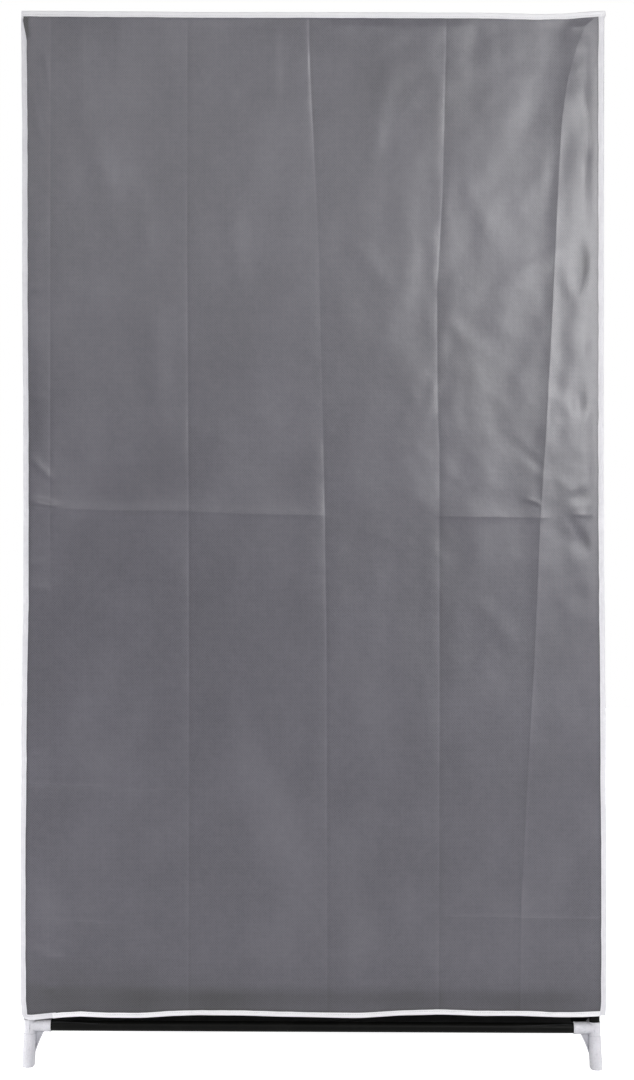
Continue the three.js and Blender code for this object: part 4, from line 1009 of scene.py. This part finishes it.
def addFloorCloth(finish):
    look = floorCloth
    low, high = nodeSpan("floor_cloth")
    centreY = (low.y + high.y) / 2
    halfX, halfY = high.x, (high.y - low.y) / 2
    railX, railY = halfX - look["railIn"], halfY - look["railIn"]
    notchX, notchY = look["notch"]
    columnPlaces = lineBays([-halfX, -notchX, notchX, halfX], look["columns"])
    rowPlaces = lineBays([-halfY, -notchY, notchY, halfY], look["rows"])
    reach = look["radius"] + look["over"]
    bend = reach * look["bendShare"]

    def overRail(distance):
        # how high the cloth lies at a place that far in from a rail's axis
        if distance < bend:
            return look["railZ"] + math.sqrt(max(reach ** 2 - distance ** 2, 0))
        sag = look["sag"] * smooth((distance - bend) / look["sagWide"])
        return look["railZ"] + reach - look["bendDrop"] - sag

    def tucked(across, deep):
        (startY, runY), (startIn, runIn), (startOut, runOut) = look["tuckY"], look["tuckIn"], look["tuckOut"]
        beside = smooth((across - startIn) / runIn) * smooth((startOut - across) / runOut)
        return look["tuck"] * smooth((deep - startY) / runY) * beside

    def place(column, row):
        x, y = columnPlaces[column], rowPlaces[row]
        z = min(overRail(railX - abs(x)), overRail(railY - abs(y)))
        inside = smooth(min(railX - abs(x), railY - abs(y)) / look["ease"])
        ridge = sum(creaseRise(x - line, look["creaseRise"], look["creaseReach"])
                    for line in (-look["crease"], look["crease"]))
        z += inside * (look["wrinkle"] * bumpy(x, y, look["bumps"]) + ridge)
        paleMark = creaseRise(abs(x) - look["crease"], look["lineMark"], look["wearReach"])
        return Vector((x, y + centreY, max(z, look["least"]) - tucked(abs(x), abs(y)))), (x, y), paleMark

    shape = addSheet(len(columnPlaces) - 1, len(rowPlaces) - 1, place, 0)
    middles = [(face, face.calc_center_median()) for face in shape.faces]
    corners = [face for face, middle in middles if abs(middle.x) > notchX and abs(middle.y - centreY) > notchY]
    bmesh.ops.delete(shape, geom=corners, context="FACES")
    bmesh.ops.solidify(shape, geom=shape.faces[:], thickness=look["cloth"])
    bmesh.ops.recalc_face_normals(shape, faces=shape.faces)
    return addPiece("floor_sheet", shape, [finish], ["floor_cloth"], "frame", "floor_cloth")


tube = {"radius": 8, "wall": 0.8, "rounding": 0.25, "step": 40, "leastSteps": 6}


def turned(profile, axis):
    # a closed profile of (radius, place along the axis), spun round it
    shape = bmesh.new()
    side = axis.orthogonal().normalized()
    verts = [shape.verts.new(side * radius + axis * place) for radius, place in profile]
    edges = [shape.edges.new(pair) for pair in zip(verts, verts[1:] + verts[:1])]
    bmesh.ops.spin(shape, geom=verts + edges, cent=(0, 0, 0), axis=axis, angle=fullTurn, steps=roundSides,
                   use_merge=True)
    bmesh.ops.remove_doubles(shape, verts=shape.verts, dist=0.001)
    bmesh.ops.recalc_face_normals(shape, faces=shape.faces)
    return shape


def moved(shape, vec):
    bmesh.ops.translate(shape, vec=vec, verts=shape.verts)
    return shape


def addTube(node, finish):
    low, high = nodeSpan(node)
    size = high - low
    axis = max((axisX, axisY, axisZ), key=lambda way: size.dot(way))
    outer, inner, soft = tube["radius"], tube["radius"] - tube["wall"], tube["rounding"]
    half = size.dot(axis) / 2
    steps = max(tube["leastSteps"], round(half / tube["step"]))
    outside = [(outer, -half + soft + (2 * half - 2 * soft) * i / steps) for i in range(steps + 1)]
    profile = [(outer - soft, -half)] + outside + [(outer - soft, half), (inner, half), (inner, -half)]
    shape = moved(turned(profile, axis), (low + high) / 2)
    return addPiece("steel_" + node, shape, [finish], [node], "frame", "black_tube")


connector = {
    "outer": 9.5, "bore": 8.2, "reach": 31.5, "sleeveBack": -1.2, "railZ": 61.7, "socketFloor": 47.2,
    "socketWall": 2.5, "topRailZ": 1571, "topRim": 1537, "topFloor": 1579.2, "cut": 1,  # overrun of every bore
    "gussetReach": 21.7, "gussetFoot": 22, "gussetTop": 1544, "gussetIn": 1.5, "bow": 0.8, "bowSteps": 8,
    "webThick": 2.4, "flangeThick": 6.4, "flangeDeep": 1.7, "bead": 0.35, "beadWide": 2.2, "beadSlope": 0.4,
    "rounding": 0.5, "roundShare": 0.3, "backEdge": 1,
}
coupler = {
    "edge": 0.5, "bead": 3, "beadEnd": 3.6, "deep": 0.4, "middle": 1, "middleEnd": 1.5, "stop": 0.6,
    "stopHalf": 1,
}
bracket = {
    "half": 12, "reach": 29, "hangZ": -34, "edge": 0.6, "thick": 5, "back": -8.3, "cut": 5, "boreStart": 3,
    "nose": [(5, 1), (11, 0.72)],  # the web's lower end: back from the reach, share of the drop
    "neck": [(13, 0.5), (9.6, 0.25), (8.3, 0)],  # and its upper end: out, share of the drop
}
leg = {
    "radius": 9.7, "top": 50, "splay": 2.4, "baseShift": 3.4, "chamfer": 3, "baseRadius": 8.2, "wall": 1.8,
    "pocket": 34, "rib": 1.6, "chamferMiddle": (0.35, 0.93, 0.6),  # shares of height and shift, and wider by
}


def sleeveSolid(axis, start, end):
    # a moulded sleeve, closed at its start, with a rounded rim and a slightly raised bead round its open end
    look, full, rounding = connector, connector["outer"], connector["rounding"]
    outer, bead, soft = full - look["bead"], end - look["beadWide"], rounding * look["roundShare"]
    return turned([(0, start), (outer - look["backEdge"], start), (outer, start + look["backEdge"]),
                   (outer, bead - look["beadSlope"]), (full, bead), (full, end - rounding),
                   (full - soft, end - soft), (full - rounding, end), (0, end)], axis)


def boreSolid(axis, start, end):
    radius = connector["bore"]
    return turned([(0, start), (radius, start), (radius, end), (0, end)], axis)


def picked(items, kind):
    return [item for item in items if isinstance(item, kind)]


def legSolid(inset, low, high):
    # round rings joined downwards, with the splay of the leg and its chamfered foot
    heightShare, shiftShare, wider = leg["chamferMiddle"]
    rings = [(high, 0, leg["radius"]), (leg["top"] / 2, leg["splay"] / 2, leg["radius"]),
             (leg["chamfer"], leg["splay"], leg["radius"]),
             (leg["chamfer"] * heightShare, leg["baseShift"] * shiftShare, leg["baseRadius"] + wider),
             (0, leg["baseShift"], leg["baseRadius"])]
    if low < 0:
        rings.append((low, leg["baseShift"], leg["baseRadius"]))
    shape = bmesh.new()
    widest = rings[0][2] - inset
    ring = bmesh.ops.create_circle(shape, cap_ends=True, segments=roundSides, radius=widest)["verts"]
    bmesh.ops.translate(shape, vec=(0, 0, rings[0][0]), verts=ring)
    edges = shape.edges[:]
    for (height, shift, radius), (nextHeight, nextShift, nextRadius) in zip(rings, rings[1:]):
        made = bmesh.ops.extrude_edge_only(shape, edges=edges)["geom"]
        ring, edges = picked(made, bmesh.types.BMVert), picked(made, bmesh.types.BMEdge)
        centre = Vector((-shift, -shift, height))
        scale = (nextRadius - inset) / (radius - inset)
        bmesh.ops.scale(shape, vec=(scale, scale, 1), space=Matrix.Translation(-centre), verts=ring)
        bmesh.ops.translate(shape, vec=(shift - nextShift, shift - nextShift, nextHeight - height), verts=ring)
    bmesh.ops.contextual_create(shape, geom=edges)
    bmesh.ops.recalc_face_normals(shape, faces=shape.faces)
    return shape


def gussetSolids(axis, sleeveZ, tipZ):
    # a thin web in the corner between a sleeve and the upright, with a thicker flange along its free edge
    side = 1 if tipZ > sleeveZ else -1
    inner, reach = connector["outer"] - connector["gussetIn"], connector["gussetReach"]
    startZ = sleeveZ + side * inner
    edge = Vector((inner - reach, tipZ - startZ))
    outward = Vector((-abs(edge.y), -side * abs(edge.x))).normalized()
    deep, steps = outward * connector["flangeDeep"], connector["bowSteps"]
    curve = []
    for step in range(steps + 1):
        pull = connector["bow"] * math.sin(math.pi * step / steps)
        curve.append(Vector((reach, startZ)) + edge * step / steps + outward * pull)
    web = [Vector((0, sleeveZ)), Vector((reach, sleeveZ))] + curve + [Vector((0, tipZ))]
    flange = curve + [point + deep for point in reversed(curve)]
    return [slab(axis, web, connector["webThick"]), slab(axis, flange, connector["flangeThick"])]


def slab(axis, outline, thick):
    # an upright plate of that outline, lying along the axis
    across = axis.cross(axisZ)
    shape = bmesh.new()
    verts = [shape.verts.new(axis * out + axisZ * up - across * thick / 2) for out, up in outline]
    made = bmesh.ops.extrude_face_region(shape, geom=[shape.faces.new(verts)])["geom"]
    bmesh.ops.translate(shape, vec=across * thick, verts=picked(made, bmesh.types.BMVert))
    bmesh.ops.recalc_face_normals(shape, faces=shape.faces)
    return shape


def looseObject(name, shapes):
    # several closed solids as one throwaway object
    whole = bpy.data.meshes.new(name)
    joined = bmesh.new()
    for shape in shapes:
        part = bpy.data.meshes.new(name)
        shape.to_mesh(part)
        shape.free()
        joined.from_mesh(part)
        bpy.data.meshes.remove(part)
    joined.to_mesh(whole)
    joined.free()
    return addObject(name, whole)


def carve(name, solids, hollows):
    # the solids as one, less the hollows
    body, cutter = looseObject(name, solids), looseObject(name + "Hollows", hollows)
    cut = body.modifiers.new("cut", "BOOLEAN")
    cut.object, cut.operation, cut.solver, cut.use_self = cutter, "DIFFERENCE", "EXACT", True
    made = bpy.data.meshes.new_from_object(body.evaluated_get(bpy.context.evaluated_depsgraph_get()))
    for spare in (body, cutter):
        data = spare.data
        bpy.data.objects.remove(spare)
        bpy.data.meshes.remove(data)
    return made


def railSleeves(height):
    # the two sleeves for the rails at that height, and their bores
    rail, look = axisZ * height, connector
    sleeves = [moved(sleeveSolid(way, look["sleeveBack"], look["reach"]), rail) for way in (axisX, axisY)]
    bores = [moved(boreSolid(way, look["outer"], look["reach"] + look["cut"]), rail) for way in (axisX, axisY)]
    return sleeves, bores


def bothGussets(sleeveZ, tipZ):
    return gussetSolids(axisX, sleeveZ, tipZ) + gussetSolids(axisY, sleeveZ, tipZ)


def footMesh():
    look, rim = connector, connector["railZ"] + connector["outer"]
    sleeves, bores = railSleeves(look["railZ"])
    socket = sleeveSolid(axisZ, look["socketFloor"] - look["socketWall"], rim)
    gussets = bothGussets(look["railZ"], look["gussetFoot"])
    hollows = [boreSolid(axisZ, look["socketFloor"], rim + look["cut"])] + bores + legPockets()
    return carve("foot", [socket] + sleeves + [legSolid(0, 0, leg["top"])] + gussets, hollows)


def legPockets():
    # the hollow inside the leg, in four quarters with ribs between them
    pockets = []
    for turnX in (-1, 1):
        for turnY in (-1, 1):
            shape = legSolid(leg["wall"], -leg["chamfer"], leg["pocket"])
            for way, turn in ((axisX, turnX), (axisY, turnY)):
                edge = Vector((-leg["baseShift"], -leg["baseShift"], 0)) + way * turn * leg["rib"] / 2
                whole = shape.verts[:] + shape.edges[:] + shape.faces[:]
                cut = bmesh.ops.bisect_plane(shape, geom=whole, plane_co=edge, plane_no=way * -turn,
                                             clear_outer=True)
                bmesh.ops.contextual_create(shape, geom=picked(cut["geom_cut"], bmesh.types.BMEdge))
            bmesh.ops.recalc_face_normals(shape, faces=shape.faces)
            pockets.append(shape)
    return pockets


def cornerMesh():
    look, roofZ = connector, connector["topRailZ"] + connector["outer"]
    sleeves, bores = railSleeves(look["topRailZ"])
    socket = sleeveSolid(-axisZ, -roofZ, -look["topRim"])
    gussets = bothGussets(look["topRailZ"], look["gussetTop"])
    hollows = [boreSolid(axisZ, look["topRim"] - look["cut"], look["topFloor"])] + bores
    return carve("corner", [socket] + sleeves + gussets, hollows)


def placeMesh(name, mesh, shift, flip, finish, node):
    shape = bmesh.new()
    shape.from_mesh(mesh)
    bmesh.ops.remove_doubles(shape, verts=shape.verts, dist=0.002)
    bmesh.ops.scale(shape, vec=(flip[0], flip[1], 1), verts=shape.verts)
    if flip[0] * flip[1] < 0:
        bmesh.ops.reverse_faces(shape, faces=shape.faces)
    return addPlastic(name, moved(shape, shift), finish, node)


def addPlastic(name, shape, finish, node):
    return addPiece(name, shape, [finish], [node], "frame", "white_plastic", sharp=28)


def couplerProfile(half):
    # its outside from one end to the other, mirrored about the middle, then its bore with the stop
    look, outer, bore = coupler, connector["outer"], connector["bore"]
    groove, depth = outer - look["deep"], bore - look["stop"]
    upper = [(outer, look["middle"]), (groove, look["middleEnd"]), (groove, half - look["beadEnd"]),
             (outer, half - look["bead"]), (outer, half - look["edge"]), (outer - look["edge"], half),
             (bore, half)]
    lower = [(radius, -place) for radius, place in reversed(upper)]
    stop = look["stopHalf"]
    return lower + upper + [(bore, stop), (depth, stop), (depth, -stop), (bore, -stop)]


def addConnectors(finish):
    foot, corner = footMesh(), cornerMesh()
    for end, endSign in (("front", -1), ("back", 1)):
        for side, sideSign in (("left", -1), ("right", 1)):
            name, flip = f"{end}_{side}", (-sideSign, -endSign)
            place = Vector((sideSign * uprights["x"], endSign * uprights["y"] + uprights["middle"], 0))
            placeMesh("moulded_foot_" + name, foot, place, flip, finish, "foot_" + name)
            placeMesh("moulded_corner_" + name, corner, place, flip, finish, "corner_top_" + name)
            low, high = nodeSpan("coupler_" + name)
            shape = moved(turned(couplerProfile((high.z - low.z) / 2), axisZ), (low + high) / 2)
            addPlastic("moulded_coupler_" + name, shape, finish, "coupler_" + name)


def addBrackets(finish):
    look, outer, bore = bracket, connector["outer"], connector["bore"]
    half, drop, reach, edge = look["half"], look["hangZ"], look["reach"], look["edge"]
    outline = [(look["back"], 0), (look["back"], drop)]
    outline += [(reach - back, drop * share) for back, share in look["nose"]]
    outline += [(out, drop * share) for out, share in look["neck"]]
    ring = turned([(0, -half), (outer - edge, -half), (outer, -half + edge), (outer, half - edge),
                   (outer - edge, half), (0, half)], axisY)
    solids = [ring, moved(sleeveSolid(axisX, -outer, reach), axisZ * drop), slab(axisX, outline, look["thick"])]
    hollows = [boreSolid(axisY, -half - look["cut"], half + look["cut"]),
               moved(boreSolid(axisX, look["boreStart"] - outer, reach + connector["cut"]), axisZ * drop)]
    mesh = carve("bracket", solids, hollows)
    for name, side in (("left", -1), ("right", 1)):
        place = Vector((side * uprights["x"], uprights["middle"], connector["topRailZ"]))
        placeMesh("moulded_bracket_" + name, mesh, place, (-side, 1), finish, "rail_bracket_" + name)


print("camera and studio")
addCamera()
addStudio()

print("materials")
greyFinish = spunbond("greySpunbond", greyCloth)
tapeFinish = spunbond("whiteSpunbondTape", whiteTape)
blackFinish = spunbond("blackSpunbond", blackCloth)
threadFinish = spunThread()
powderFinish = powderCoat()
plasticFinish = mouldedPolypropylene()
hookFinish = gripTape("nylonHookTape", True)
loopFinish = gripTape("nylonLoopTape", False)

print("door")
doorCloth = addDoorCloth(greyFinish)
doorTrim = addDoorTapes([tapeFinish, threadFinish])
for side in ("left", "right"):
    nodes = [f"hook_tape_{side}_upper", f"hook_tape_{side}_lower"]
    doorTrim.append(addStrip("hook_strip_" + side, nodes, hookFinish, "grip_tape", None, 0.1, 51))

print("cover")
coverTrim = addCoverTapes([tapeFinish, threadFinish])
roofCloth = addRoof(greyFinish)
leftCloth, rightCloth, backCloth = (addPanel(*row, greyFinish) for row in coverPanels)
for side in ("left", "right"):
    addStrip("strip_cloth_" + side, ["front_strip_" + side], greyFinish, "grey_cloth",
                           "cover", 0.15, 81)
    coverTrim.append(addStrip("loop_strip_" + side, ["loop_tape_" + side], loopFinish, "grip_tape",
                              "cover", 0.05, 83))

print("frame")
floorSheet = addFloorCloth(blackFinish)
for node in sorted(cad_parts):
    if node.startswith(("upright_", "rail_bottom", "rail_top", "hanging_rail")):
        addTube(node, powderFinish)
addConnectors(plasticFinish)
addBrackets(plasticFinish)

scene.view_settings.view_transform = "Standard"
